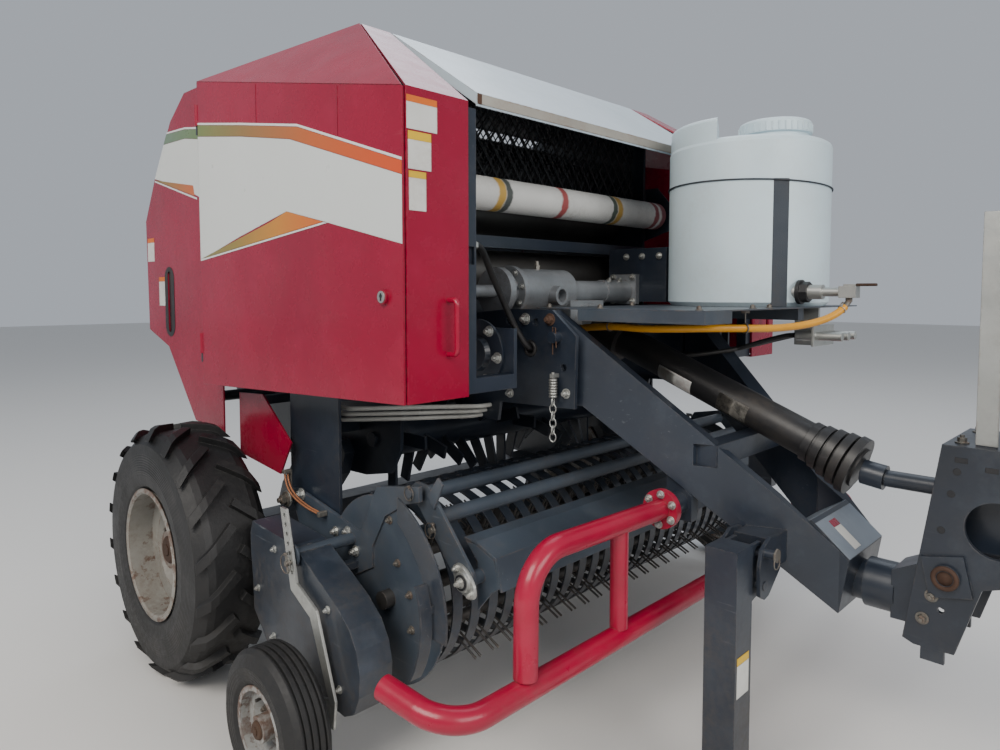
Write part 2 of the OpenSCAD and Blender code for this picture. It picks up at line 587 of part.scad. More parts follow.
// turning part of the hitch with its shaft, web and input shaft
module swivel() color(grey) place() {
  ycyl(0, -1766, swivel_z, swivel_d, 136);
  ycyl(0, -1868, swivel_z, 130, 76);
  yz([[-1900, 570], [-1955, 600], [-1973.4, 600], [-1951.6, 446], [-1900, 445]], -60, 120);
  bar([0, -1806, pto_zf + 8], [0, -1862, pto_zf], 66);
  bar([0, -1862, pto_zf], [0, -2030 + g, pto_zf], 44);
}
module hitch_box() color(grey) place() {
  both() {
    difference() {
      union() {
        yz([[-1950, 440], [-1975, 430], [-2060, 432], [-2110, 600], [-2250, 652], [-2250, 925], [-2020, 925]], hitch_x - 12, 12);
        translate([hitch_x - 2, -2040, 615]) rotate([-13, 0, 0]) translate([0, -45, -48]) cube([12, 90, 96]);
        xrod(hitch_x - 2, hitch_x + 22, -2040, 615, 54);
      }
      xcyl(hitch_x, -2040, 615, 34, 80);
      xcyl(hitch_x, -2136, 742, 130, 60);
      for (p = [[-1992, 500], [-2010, 560], [-2030, 530]]) xcyl(hitch_x, p[0], p[1], 14, 60);
    }
    // tabs below
    box([hitch_x - 12, -2040, 400], [hitch_x, -1990, 431]);
  }
  difference() {
    box([-hitch_x + 12, -2250, 913], [hitch_x - 12, -2020, 925]);
    zcyl(0, yaw_y + 0, 900, 30.2, 60);
  }
  difference() {
    yz([[-1952, 446], [-2018, 913], [-2030, 913], [-1964, 446]], -hitch_x + 12, 2 * hitch_x - 24);
    ycyl(0, -2000, pto_zf, 60, 100);
  }
  difference() {
    box([-hitch_x + 12, -2250, 650], [hitch_x - 12, -2130, 664]);
    zcyl(0, yaw_y, 600, 30.2, 80);
  }
  // drive inside
  box([-60, -2160, 664 + g], [60, -2030, 870]);
  // hose mast
  box([-120, -2125, 925], [-114, -2083, 1460]);
}
module hitch_head() color(grey) place() {
  box([-45, yaw_y - 225, 560], [45, yaw_y - 175, 1110]);
  for (z = [932, 618]) xy([[-42, 22], [42, 22], [60, -40], [45, -175], [-45, -175], [-60, -40]], z, 24);
  zcyl(0, yaw_y, 905, 30, 75);
  zcyl(0, yaw_y, 590, 30, 80);
  difference() {
    xcyl(0, yaw_y - 200, 600, 70, 640);
    cube(1);
  }
  xcyl(0, yaw_y - 200, 600, 28, 960);
  both() xrod(320, 350, yaw_y - 200, 600, 90);
  // cheeks for the top link
  both() difference() {
    yz([[yaw_y - 175, 960], [yaw_y - 290, 1040], [yaw_y - 290, 1110], [yaw_y - 175, 1110]], 32, 13);
    xcyl(38, yaw_y - 260, 1075, 25.8, 60);
  }
}
module xy(pts, z0, t) translate([0, yaw_y, z0]) linear_extrude(t) polygon(pts);
module stand_leg() color(grey) place() {
  x1 = stand_x - 35;
  difference() {
    box([x1 - leg_s, stand_y - leg_s / 2, 12], [x1, stand_y + leg_s / 2, stand_z + 110]);
    box([x1 - leg_s + 6, stand_y - leg_s / 2 + 6, 13], [x1 - 6, stand_y + leg_s / 2 - 6, stand_z + 104]);
  }
  box([x1 - leg_s - 50, stand_y - 90, 0], [x1 + 50, stand_y + 90, 12]);
  for (s = [-1, 1]) difference() {
    xz([[x1, stand_z - 40], [x1, stand_z + 105], [x1 + 55, stand_z + 105], [x1 + 58, stand_z - 10], [x1 + 40, stand_z - 30]], stand_y + s * 32 - 5, 10);
    ycyl(stand_x, stand_y, stand_z + 85, 24.2, 200);
  }
  ycyl(stand_x, stand_y, stand_z, 24, 120);
}
// tyres and rims, s is -1 on the right
module tyre_shape(d, w, r, h) rotate_extrude() polygon([[r / 2, -w / 2 + 22], [r / 2 + 24, -w / 2 + 6], [r / 2 + 70, -w / 2], [d / 2 - h, -w / 2 + 6], [d / 2 - 6, -w / 2 + h], [d / 2, -w / 2 + h * 1.6],
  [d / 2, w / 2 - h * 1.6], [d / 2 - 6, w / 2 - h], [d / 2 - h, w / 2 - 6], [r / 2 + 70, w / 2], [r / 2 + 24, w / 2 - 6], [r / 2, w / 2 - 22]]);
module main_tyre(s) color(black) place() translate([s * wheel_x, 0, tyre_d / 2]) rotate([0, s * 90, 0]) {
  tyre_shape(tyre_d - 2 * lug_h, tyre_w - 8, rim_d, 34);
  intersection() {
    tyre_shape(tyre_d, tyre_w, rim_d, 36);
    union() for (k = [0 : 17]) for (m = [-1, 1]) rotate([0, 0, k * 20 + m * 5])
      translate([tyre_d / 2 - lug_h - 20, 0, m * (tyre_w / 4 + 4)]) rotate([m * 42, 0, 0]) translate([0, -13, -tyre_w * 0.32]) cube([60, 26, tyre_w * 0.64]);
  }
}
module tyre_right() main_tyre(-1);
module tyre_left() main_tyre(1);
module rim_shape(r, w, hub, bore) {
  polygon([[r - 8, -w / 2 + 12], [r - 2, -w / 2 + 6], [r + 12, -w / 2 + 10], [r, -w / 2 + 22], [r, w / 2 - 22], [r + 12, w / 2 - 10], [r - 2, w / 2 - 6], [r - 8, w / 2 - 12]]);
  polygon([[bore, 4], [r * 0.62, 4], [r * 0.72, 30], [r - 8, 30], [r - 8, 38], [r * 0.69, 38], [r * 0.6, 12], [bore, 12]]);
  polygon([[bore, -40], [hub, -40], [hub, 56], [0, 56], [0, 46], [bore, 46]]);
}
module rim_right() color(white) place() translate([-wheel_x, 0, tyre_d / 2]) rotate([0, -90, 0]) rotate_extrude() rim_shape(rim_d / 2, tyre_w, 62, 30.1);
module rim_left() color(white) place() translate([wheel_x, 0, tyre_d / 2]) rotate([0, 90, 0]) rotate_extrude() rim_shape(rim_d / 2, tyre_w, 62, 30.1);
module gauge_tyre(s) color(black) place() translate([s * gauge_x, gauge_y, gauge_d / 2]) rotate([0, s * 90, 0])
  rotate_extrude() difference() {
    polygon([[gauge_rim / 2, -gauge_w / 2 + 20], [gauge_rim / 2 + 20, -gauge_w / 2 + 4], [gauge_d / 2 - 40, -gauge_w / 2], [gauge_d / 2 - 10, -gauge_w / 2 + 14], [gauge_d / 2, -gauge_w / 2 + 26],
      [gauge_d / 2, gauge_w / 2 - 26], [gauge_d / 2 - 10, gauge_w / 2 - 14], [gauge_d / 2 - 40, gauge_w / 2], [gauge_rim / 2 + 20, gauge_w / 2 - 4], [gauge_rim / 2, gauge_w / 2 - 20]]);
    for (i = [-1.5 : 1.5]) translate([gauge_d / 2 - 7, i * 18 - 3]) square([20, 6]);
  }
module gauge_tyre_right() gauge_tyre(-1);
module gauge_tyre_left() gauge_tyre(1);
module gauge_rim_shape() {
  r = gauge_rim / 2; w = gauge_w;
  polygon([[r - 6, -w / 2 + 10], [r + 8, -w / 2 + 10], [r + 8, -w / 2 + 13], [r - g, -w / 2 + 19.5], [r - g, w / 2 - 19.5], [r + 8, w / 2 - 13], [r + 8, w / 2 - 10], [r - 6, w / 2 - 10]]);
  polygon([[15.1, 0], [r * 0.6, 0], [r * 0.75, 20], [r - 6, 20], [r - 6, 26], [r * 0.7, 26], [r * 0.55, 6], [15.1, 6]]);
  polygon([[15.1, -40], [34, -40], [34, 50], [0, 50], [0, 42], [15.1, 42]]);
}
module gauge_rim_right() color(white) place() translate([-gauge_x, gauge_y, gauge_d / 2]) rotate([0, -90, 0]) rotate_extrude() gauge_rim_shape();
module gauge_rim_left() color(white) place() translate([gauge_x, gauge_y, gauge_d / 2]) rotate([0, 90, 0]) rotate_extrude() gauge_rim_shape();

chamber_walls();
axle_beam();
front_rollers();
feed_rotor();
net_grille();
net_roll();
hood();
fixed_covers();
side_door_right();
side_door_left();
tail_frame();
tail_rollers();
tail_covers();
gate_barrel_right();
gate_barrel_left();
gate_rod_right();
gate_rod_left();
gearbox();
drawbar();
platform();
tank();
hose_fittings();
tank_hose();
pipes();
spring_chain();
crop_guard();
pickup_frame();
pickup_shields();
pickup_bands();
pickup_reel();
windguard();
gauge_bars();
power_shaft();
swivel();
hitch_box();
hitch_head();
stand_leg();
gauge_tyre_right();
gauge_tyre_left();
gauge_rim_right();
gauge_rim_left();
tyre_right();
tyre_left();
rim_right();
rim_left();
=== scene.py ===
# %% [markdown]
# Round baler, dressed for the camera.
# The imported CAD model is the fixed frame. Everything here is in metres in that frame: -Y is
# forward to the hitch, +Z is up and the machine's right side is -X. The scene adds finishes,
# printed films, fasteners, hoses and wear, and never moves a CAD part.

# %% Load the frame
import math
import bmesh
import bpy
from mathutils import Matrix, Vector


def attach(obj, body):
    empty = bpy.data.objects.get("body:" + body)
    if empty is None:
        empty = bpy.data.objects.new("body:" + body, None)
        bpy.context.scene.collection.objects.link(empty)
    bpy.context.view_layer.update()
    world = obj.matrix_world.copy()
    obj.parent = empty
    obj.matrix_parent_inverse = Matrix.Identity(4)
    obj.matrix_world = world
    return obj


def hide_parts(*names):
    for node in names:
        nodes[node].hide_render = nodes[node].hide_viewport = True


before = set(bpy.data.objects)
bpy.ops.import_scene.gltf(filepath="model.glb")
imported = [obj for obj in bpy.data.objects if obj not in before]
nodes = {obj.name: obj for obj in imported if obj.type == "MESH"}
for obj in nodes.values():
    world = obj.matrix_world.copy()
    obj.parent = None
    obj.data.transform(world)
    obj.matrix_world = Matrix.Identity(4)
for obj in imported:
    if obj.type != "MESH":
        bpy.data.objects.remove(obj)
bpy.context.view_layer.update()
print(len(nodes), "CAD nodes")

# %% [markdown]
# The part's source measures lengths from the main axle on the ground, because a baler is drawn
# from its axle. One helper turns such a point into the frame, so that every number below can be
# compared with the source. The wheels' centres are wanted often, so they are named here, and so
# are the two sides: right is -X and left is +X.

# %% Points measured from the axle
AXLE_Y = 0.9005
SIDES = ((-1, "right"), (1, "left"))


def at(x, y, z):
    """A point measured from the main axle on the ground, in the frame."""
    return Vector((x, y + AXLE_Y, z))


MAIN_AXLE = at(0, 0, 0.418)
GAUGE_AXLE = at(0, -0.81, 0.193)
print("main axle", MAIN_AXLE, "gauge axle", GAUGE_AXLE)

# %% [markdown]
# The camera stood at eye height in front of the right corner. Its place and lens were worked out
# from where the machine's long and cross lines meet in the photograph. A small shift keeps the
# machine's height in the picture while the camera looks a little down.

# %% Camera
camera_data = bpy.data.cameras.new("eye_height_camera")
camera_data.sensor_width, camera_data.lens = 36.0, 25.92
camera_data.shift_y = -0.04
camera_data.clip_end = 200
camera = bpy.data.objects.new("eye_height_camera", camera_data)
bpy.context.scene.collection.objects.link(camera)
camera_right = Vector((0.70101, -0.71315, 0.0)).normalized()
camera_look = Vector((0.71188, 0.69976, -0.05962)).normalized()
camera_up = camera_right.cross(camera_look)
eye = at(-2.05, -2.45, 1.28)
turned = Matrix((camera_right, camera_up, -camera_look)).transposed()
camera.matrix_world = Matrix.Translation(eye) @ turned.to_4x4()
bpy.context.scene.camera = camera
print("camera at", tuple(round(v, 3) for v in eye))

# %% [markdown]
# Finishes share a few effects, and Blender's way to share one is a node group with named
# sockets. These small helpers add nodes by name, so that a material below reads like a recipe
# rather than like wiring.

# %% Helpers for nodes and groups
def add_node(tree, kind, **values):
    """A node with its settings and its inputs' plain values given by name."""
    node = tree.nodes.new(kind)
    for key, value in values.items():
        if hasattr(node, key):
            setattr(node, key, value)
        else:
            node.inputs[key].default_value = value
    return node


def link(tree, a, b):
    tree.links.new(a, b)


def math_node(tree, operation, a, b=None, clamp=False):
    """One sum. Each side of it is a plain number or another node's output."""
    node = add_node(tree, "ShaderNodeMath", operation=operation, use_clamp=clamp)
    for i, value in enumerate((a, b)):
        if isinstance(value, (int, float)):
            node.inputs[i].default_value = value
        elif value is not None:
            link(tree, value, node.inputs[i])
    return node.outputs[0]


def times(tree, a, b, clamp=False):
    return math_node(tree, "MULTIPLY", a, b, clamp)


def new_group(name, inputs, outputs):
    """A node group with number inputs and their first values, and named outputs."""
    tree = bpy.data.node_groups.new(name, "ShaderNodeTree")
    for label, value in inputs:
        socket = tree.interface.new_socket(label, in_out="INPUT", socket_type="NodeSocketFloat")
        socket.default_value = value
    for label, kind in outputs:
        tree.interface.new_socket(label, in_out="OUTPUT", socket_type="NodeSocket" + kind)
    return tree, tree.nodes.new("NodeGroupInput").outputs, tree.nodes.new("NodeGroupOutput").inputs


def place_group(tree, group, **values):
    node = add_node(tree, "ShaderNodeGroup", node_tree=group)
    for label, value in values.items():
        node.inputs[label.replace("_", " ")].default_value = value
    return node.outputs


print("node and group helpers ready")

# %% [markdown]
# Weathering is mostly noise that is cut off between two values and then used as a mask between
# two colours. All of it reads the object's own coordinates, in metres, so a pattern keeps its
# size on every part and moves with it.

# %% Helpers for masks and colours
def noise(tree, vector, scale, detail, rough):
    node = add_node(tree, "ShaderNodeTexNoise", Scale=scale, Detail=detail, Roughness=rough)
    link(tree, vector, node.inputs["Vector"])
    return node.outputs["Fac"]


def ramp(tree, value, low, high):
    """0 at the low value and 1 at the high one, straight between and level beyond."""
    node = tree.nodes.new("ShaderNodeMapRange")
    node.inputs["From Min"].default_value = low
    node.inputs["From Max"].default_value = high
    link(tree, value, node.inputs["Value"])
    return node.outputs["Result"]


def mix_colour(tree, factor, a, b):
    """Colour a where the factor is 0 and b where it is 1."""
    node = add_node(tree, "ShaderNodeMix", data_type="RGBA")
    for i, value in ((0, factor), (6, a), (7, b)):
        if isinstance(value, (int, float)):
            node.inputs[i].default_value = value
        elif isinstance(value, tuple):
            node.inputs[i].default_value = value + (1.0,)
        else:
            link(tree, value, node.inputs[i])
    return node.outputs[2]


def object_point(tree):
    return tree.nodes.new("ShaderNodeTexCoord").outputs["Object"]


def split_point(tree, point):
    node = tree.nodes.new("ShaderNodeSeparateXYZ")
    link(tree, point, node.inputs[0])
    return node.outputs


print("mask helpers ready")

# %% [markdown]
# A baler works in dust and wet soil, so dried mud lies low on it and in thin patches higher up.
# It could be painted by hand, but a mask from height and noise covers every side alike. Three
# noises make it: broad clouds for the low mud, patches higher up, and a fine grain in both.

# %% Mud and dust
mud_group, given, result = new_group("mud_and_dust", [("Height", 0.7), ("Patchiness", 0.5)],
                                     [("Mask", "Float")])
point = object_point(mud_group)
height = math_node(mud_group, "DIVIDE", split_point(mud_group, point)["Z"], given["Height"])
low_mud = math_node(mud_group, "SUBTRACT", 1.0, height, clamp=True)
clouds = ramp(mud_group, noise(mud_group, point, 3.1, 5.0, 0.6), 0.34, 0.72)
low_mud = times(mud_group, low_mud, clouds)
patches = ramp(mud_group, noise(mud_group, point, 5.0, 6.0, 0.62), 0.46, 0.74)
patches = times(mud_group, patches, given["Patchiness"])
grain = ramp(mud_group, noise(mud_group, point, 62.0, 5.0, 0.68), 0.32, 0.64)
mask = math_node(mud_group, "ADD", patches, low_mud, clamp=True)
link(mud_group, times(mud_group, mask, grain), result["Mask"])
print("group", mud_group.name)

# %% [markdown]
# Paint wears first at edges. A bevelled normal differs from the true one only near an edge, so
# their difference marks edges without any unwrapping, and noise breaks it into chips. The same
# trick gives sharp CAD edges the small radius that pressed steel has.

# %% Chipped edges
CHIP_WIDTH, PRESSED_RADIUS = 0.006, 0.0025
edge_group, given, result = new_group("chipped_edges", [("Amount", 0.5)],
                                      [("Mask", "Float"), ("Rounded", "Vector")])
point = object_point(edge_group)
wide = add_node(edge_group, "ShaderNodeBevel", samples=4, Radius=CHIP_WIDTH)
dot = add_node(edge_group, "ShaderNodeVectorMath", operation="DOT_PRODUCT")
link(edge_group, wide.outputs["Normal"], dot.inputs[0])
link(edge_group, edge_group.nodes.new("ShaderNodeNewGeometry").outputs["Normal"], dot.inputs[1])
edge = math_node(edge_group, "SUBTRACT", 1.0, dot.outputs["Value"], clamp=True)
edge = times(edge_group, edge, 9.0, clamp=True)
edge = times(edge_group, edge, ramp(edge_group, noise(edge_group, point, 38.0, 6.0, 0.7), 0.47, 0.60))
spots = ramp(edge_group, noise(edge_group, point, 24.0, 7.0, 0.78), 0.70, 0.74)
worn = math_node(edge_group, "MAXIMUM", edge, times(edge_group, spots, 0.7))
link(edge_group, times(edge_group, worn, given["Amount"], clamp=True), result["Mask"])
small = add_node(edge_group, "ShaderNodeBevel", samples=3, Radius=PRESSED_RADIUS)
link(edge_group, small.outputs["Normal"], result["Rounded"])
print("group", edge_group.name)

# %% [markdown]
# Long scratches run along a sheet where the crop and branches rub it. A noise stretched far more
# one way than the other gives them, and only its peaks are kept.

# %% Fine scratches
scratch_group, given, result = new_group("fine_scratches", [("Density", 0.5)], [("Mask", "Float")])
point = object_point(scratch_group)
stretch = add_node(scratch_group, "ShaderNodeMapping", Scale=(60.0, 3.0, 46.0), Rotation=(0.5, 0.0, 0.0))
link(scratch_group, point, stretch.inputs["Vector"])
lines = ramp(scratch_group, noise(scratch_group, stretch.outputs[0], 2.4, 3.0, 0.6), 0.66, 0.74)
area = ramp(scratch_group, noise(scratch_group, point, 2.0, 3.0, 0.5), 0.45, 0.65)
lines = times(scratch_group, times(scratch_group, lines, area), given["Density"], clamp=True)
link(scratch_group, lines, result["Mask"])
print("group", scratch_group.name)

# %% [markdown]
# Wheels wear in rings around their axle. This group measures how far a point lies from an axle
# that runs across the machine, and a tyre or rim then makes its rings from that one distance.

# %% Distance from an axle
axle_group, given, result = new_group("axle_distance", [("Centre Y", 0.0), ("Centre Z", 0.0)],
                                      [("Radius", "Float")])
where = split_point(axle_group, object_point(axle_group))
squares = []
for way in ("Y", "Z"):
    off = math_node(axle_group, "SUBTRACT", where[way], given["Centre " + way])
    squares.append(times(axle_group, off, off))
distance = math_node(axle_group, "SQRT", math_node(axle_group, "ADD", *squares))
link(axle_group, distance, result["Radius"])
print("group", axle_group.name)


# %% [markdown]
# Nearly every surface here is painted steel, bare steel, rubber or plastic that has stood
# outdoors. One function builds such a finish from its own values: a base colour that varies,
# chips, mud, and a roughness and relief that follow them. Plain numbers sit on the shader's own
# sockets. Two more functions lay a further relief or colour over a finish that is already there.

# %% A weathered finish
DRY_MUD, RUST_BROWN = (0.10, 0.078, 0.055), (0.16, 0.08, 0.045)


def finish(name, colour, rough, mud, wear, metal=0.0, coat=0.0, mud_colour=DRY_MUD,
           wear_colour=RUST_BROWN, variation=0.12, bump=0.15, bump_scale=60.0, fade=None, scratches=0.0,
           dents=0.0):
    """Mud is its height in metres and its patchiness. Fade is the colour that sun has bleached it to."""
    material = bpy.data.materials.new(name)
    material.use_nodes = True
    tree = material.node_tree
    shader = tree.nodes["Principled BSDF"].inputs
    point = object_point(tree)
    broad = ramp(tree, noise(tree, point, 2.3, 4.0, 0.55), 0.32, 0.68)
    darker, lighter = (tuple(min(1.0, c * (1.0 + way * variation)) for c in colour) for way in (-1, 1))
    base = mix_colour(tree, broad, darker, lighter)
    if fade:
        faded = ramp(tree, noise(tree, point, 9.0, 7.0, 0.7), 0.52, 0.78)
        base = mix_colour(tree, times(tree, faded, 0.35), base, fade)
    if scratches:
        marks = place_group(tree, scratch_group, Density=scratches)["Mask"]
        base = mix_colour(tree, marks, base, tuple(min(1.0, c * 1.5 + 0.10) for c in colour))
    chips = place_group(tree, edge_group, Amount=wear)
    base = mix_colour(tree, chips["Mask"], base, wear_colour)
    dirt = place_group(tree, mud_group, Height=mud[0], Patchiness=mud[1])["Mask"]
    link(tree, mix_colour(tree, dirt, base, mud_colour), shader["Base Color"])
    spread = times(tree, ramp(tree, noise(tree, point, 14.0, 5.0, 0.6), 0.3, 0.7), 0.12)
    rougher = math_node(tree, "ADD", times(tree, dirt, 0.5), times(tree, chips["Mask"], 0.3))
    rougher = math_node(tree, "ADD", rougher, spread)
    link(tree, math_node(tree, "ADD", rougher, rough, clamp=True), shader["Roughness"])
    shader["Metallic"].default_value = metal
    shader["Coat Weight"].default_value = coat
    shader["Coat Roughness"].default_value = 0.10
    relief = add_node(tree, "ShaderNodeBump", Strength=bump, Distance=0.002)
    link(tree, noise(tree, point, bump_scale, 5.0, 0.6), relief.inputs["Height"])
    link(tree, chips["Rounded"], relief.inputs["Normal"])
    link(tree, relief.outputs["Normal"], shader["Normal"])
    if dents:
        over_relief(material, noise(tree, point, 2.6, 2.0, 0.4), dents, 0.02)
    return material


def over_relief(material, height, strength, distance):
    """Lays one more relief over the one that a material has."""
    tree = material.node_tree
    socket = tree.nodes["Principled BSDF"].inputs["Normal"]
    relief = add_node(tree, "ShaderNodeBump", Strength=strength, Distance=distance)
    link(tree, height, relief.inputs["Height"])
    link(tree, socket.links[0].from_socket, relief.inputs["Normal"])
    link(tree, relief.outputs["Normal"], socket)


def over_colour(material, mask, colour):
    """Lays one more colour over the base of a material where a mask says."""
    tree = material.node_tree
    socket = tree.nodes["Principled BSDF"].inputs["Base Color"]
    link(tree, mix_colour(tree, mask, socket.links[0].from_socket, colour), socket)


print("finish ready")

# %% [markdown]
# The covers are thin pressed sheet in deep red with a glossy top coat, a little wavy where they
# were bent and rubbed by the crop, and the guard tube's red is rougher and scuffed through.
# The dents are a slow noise in the relief, because that bends the highlights as real sheet does.

# %% Red paints
red_paint = finish("cover_red", (0.245, 0.0004, 0.0230), 0.20, coat=0.25, mud=(0.90, 0.10), wear=0.25,
                   wear_colour=(0.16, 0.06, 0.05), variation=0.10, bump=0.03, bump_scale=9.0,
                   fade=(0.33, 0.012, 0.050), scratches=0.20, dents=0.45)
red_tube = finish("guard_tube_red", (0.30, 0.0010, 0.028), 0.26, coat=0.20, mud=(0.42, 0.30), wear=0.8,
                  wear_colour=(0.20, 0.06, 0.05), variation=0.2, bump=0.25, bump_scale=40.0,
                  fade=(0.38, 0.05, 0.08))
for material in (red_paint, red_tube):
    material.node_tree.nodes["Principled BSDF"].inputs["Specular IOR Level"].default_value = 0.38
print(red_paint.name, red_tube.name)

# %% [markdown]
# The frame, the drawbar and the pickup are a dark blue-grey semi-gloss that has faded unevenly
# and is rubbed to a paler grey where the crop runs over it.

# %% Grey and black paints
grey_paint = finish("frame_grey", (0.0125, 0.0185, 0.0300), 0.30, coat=0.12, mud=(0.55, 0.16), wear=0.34,
                    wear_colour=(0.13, 0.115, 0.10), variation=0.30, fade=(0.050, 0.066, 0.088),
                    scratches=0.45)
pickup_grey = finish("pickup_grey", (0.0215, 0.0290, 0.0420), 0.29, coat=0.15, mud=(0.62, 0.25), wear=0.40,
                     wear_colour=(0.16, 0.14, 0.12), variation=0.35, fade=(0.085, 0.104, 0.132),
                     scratches=0.8, dents=0.08)
platform_grey = finish("platform_grey", (0.040, 0.053, 0.071), 0.34, mud=(0.3, 0.4), wear=0.6,
                       wear_colour=(0.15, 0.10, 0.07), variation=0.3, fade=(0.10, 0.11, 0.12),
                       scratches=0.6)
# The nose's upward slope gets a far paler grey than the frame: painted sky light on a top face. Its
# scratches and chips are real wear.
nose_sky_lit_grey = finish("nose_top_painted_sky_light", (0.165, 0.195, 0.235), 0.34, mud=(0.4, 0.25), wear=0.5,
                   wear_colour=(0.20, 0.15, 0.12), variation=0.25, scratches=0.7)
# This black is the real colour of the grille and the bearing seals, and it is also the painted shade in
# the hitch box's holes and the door latches' keyholes.
black_paint_and_hole_shade = finish("grille_black_and_hole_shade", (0.009, 0.010, 0.013), 0.42, mud=(0.5, 0.15), wear=0.2,
                     wear_colour=(0.06, 0.05, 0.045))
print(grey_paint.name, pickup_grey.name, platform_grey.name, nose_sky_lit_grey.name, black_paint_and_hole_shade.name)

# %% [markdown]
# Pale finishes: the hood is off-white with a rusty lip, the pipes under the cover are a dusty
# white, and bolts, bars and couplers are zinc plated steel that has gone dull.

# %% Pale paints and bare metals
hood_paint = finish("hood_white", (0.44, 0.525, 0.590), 0.28, coat=0.25, mud=(0.5, 0.14), wear=0.55,
                    mud_colour=(0.26, 0.24, 0.20), wear_colour=(0.24, 0.11, 0.055), variation=0.06,
                    bump=0.04, bump_scale=6.0, dents=0.12)
lip_paint = finish("hood_lip", (0.30, 0.285, 0.25), 0.5, mud=(0.5, 0.6), wear=1.0,
                   mud_colour=(0.20, 0.11, 0.06), wear_colour=(0.17, 0.065, 0.03), variation=0.2)
pale_paint = finish("pipe_white", (0.42, 0.42, 0.39), 0.4, mud=(0.5, 0.45), wear=0.5,
                    wear_colour=(0.18, 0.085, 0.045))
worn_steel = finish("worn_steel", (0.13, 0.125, 0.12), 0.34, metal=0.85, mud=(0.4, 0.3), wear=0.3,
                    wear_colour=(0.2, 0.09, 0.04), variation=0.3)
zinc_steel = finish("dull_zinc", (0.46, 0.47, 0.45), 0.34, metal=0.85, mud=(0.3, 0.35), wear=0.3,
                    wear_colour=(0.20, 0.11, 0.06), variation=0.22)
dark_bolt = finish("weathered_bolt", (0.20, 0.19, 0.17), 0.42, metal=0.8, mud=(0.5, 0.5), wear=0.5,
                   wear_colour=(0.18, 0.075, 0.035), variation=0.35)
cast_iron = finish("rubbed_casting", (0.235, 0.252, 0.270), 0.30, metal=0.35, coat=0.25, mud=(0.4, 0.45),
                   wear=0.5, variation=0.40, bump=0.4, bump_scale=120.0, fade=(0.34, 0.35, 0.36))
rust = finish("rusty_steel", (0.058, 0.029, 0.018), 0.75, metal=0.2, mud=(0.4, 0.5), wear=0.2,
              variation=0.45, bump=0.6)
copper = finish("copper_line", (0.30, 0.125, 0.060), 0.38, metal=0.6, mud=(0.4, 0.4), wear=0.2,
                wear_colour=(0.10, 0.05, 0.03), variation=0.3)
print(hood_paint.name, cast_iron.name, zinc_steel.name, rust.name)

# %% [markdown]
# Rubber and plastics. The tank is milky polyethylene, which lets a little light in, so it gets
# a plain amount of scattering on the shader's own socket. Hoses are matt, and the strap is a
# dark webbing with a fine rib. Stickers are smooth white, orange or yellow, and one is nearly
# worn away.

# %% Plastics, hoses and stickers
black_plastic = finish("guard_plastic", (0.012, 0.012, 0.013), 0.36, mud=(0.5, 0.30), wear=0.15,
                       wear_colour=(0.12, 0.12, 0.12), variation=0.25, bump=0.2, scratches=0.8)
tank_plastic = finish("milky_tank", (0.50, 0.605, 0.655), 0.34, mud=(0.2, 0.20), wear=0.05,
                      mud_colour=(0.34, 0.32, 0.26), variation=0.05, bump=0.08, bump_scale=16.0,
                      dents=0.10)
tank_shader = tank_plastic.node_tree.nodes["Principled BSDF"].inputs
tank_shader["Subsurface Weight"].default_value = 0.25
tank_shader["Subsurface Radius"].default_value = (0.05, 0.05, 0.045)
hose_yellow = finish("yellow_hose", (0.60, 0.27, 0.008), 0.36, mud=(0.5, 0.30), wear=0.1,
                     variation=0.15)
hose_black = finish("black_hose", (0.009, 0.009, 0.010), 0.45, mud=(0.5, 0.2), wear=0.05)
strap_black = finish("strap_webbing", (0.030, 0.038, 0.050), 0.7, mud=(0.3, 0.4), wear=0.1, bump=0.5,
                     bump_scale=300.0)
label_white = finish("bare_label", (0.60, 0.60, 0.57), 0.36, mud=(0.4, 0.55), wear=0.3,
                     mud_colour=(0.30, 0.25, 0.21), wear_colour=(0.25, 0.10, 0.09), bump=0.02)
label_worn = finish("worn_label", (0.17, 0.16, 0.14), 0.5, mud=(0.4, 0.9), wear=0.8,
                    mud_colour=(0.05, 0.04, 0.03), wear_colour=(0.02, 0.02, 0.02), variation=0.3,
                    bump=0.02)
label_orange = finish("orange_label", (0.62, 0.13, 0.006), 0.36, mud=(0.4, 0.3), wear=0.1, bump=0.02)
label_yellow = finish("yellow_label", (0.64, 0.40, 0.008), 0.36, mud=(0.4, 0.3), wear=0.1, bump=0.02)
print(tank_plastic.name, hose_yellow.name, strap_black.name)


# %% [markdown]
# A tyre's side has fine moulded rings and dries to a dusty brown between them, while its tread
# stays darker where it wears clean. Both come from the distance to the axle.

# %% Tyre rubber
def tyre_finish(name, axle, side_low, side_high):
    """The moulded rings and the dust lie between two distances from the axle."""
    material = finish(name, (0.0052, 0.0054, 0.0062), 0.44, mud=(0.80, 0.32), wear=0.30,
                      mud_colour=(0.027, 0.025, 0.023), wear_colour=(0.05, 0.045, 0.04), variation=0.35,
                      bump=0.5, bump_scale=90.0)
    tree = material.node_tree
    distance = place_group(tree, axle_group, Centre_Y=axle.y, Centre_Z=axle.z)["Radius"]
    inside = times(tree, ramp(tree, distance, side_low, side_low + 0.01),
                   ramp(tree, distance, side_high + 0.01, side_high))
    rings = math_node(tree, "SINE", times(tree, distance, 780.0))
    over_relief(material, times(tree, rings, inside), 0.35, 0.0012)
    dust = ramp(tree, noise(tree, object_point(tree), 11.0, 5.0, 0.6), 0.45, 0.8)
    over_colour(material, times(tree, times(tree, inside, dust), 0.45), (0.042, 0.038, 0.034))
    return material


main_rubber = tyre_finish("main_tyre_rubber", MAIN_AXLE, 0.255, 0.325)
gauge_rubber = tyre_finish("gauge_tyre_rubber", GAUGE_AXLE, 0.120, 0.150)
print(main_rubber.name, gauge_rubber.name)


# %% [markdown]
# The rims are cream over rust: the paint has failed around the hub and at the outer lip, and
# brown water has run from the nuts. Noise moves the limits of each ring, so no edge is a circle.

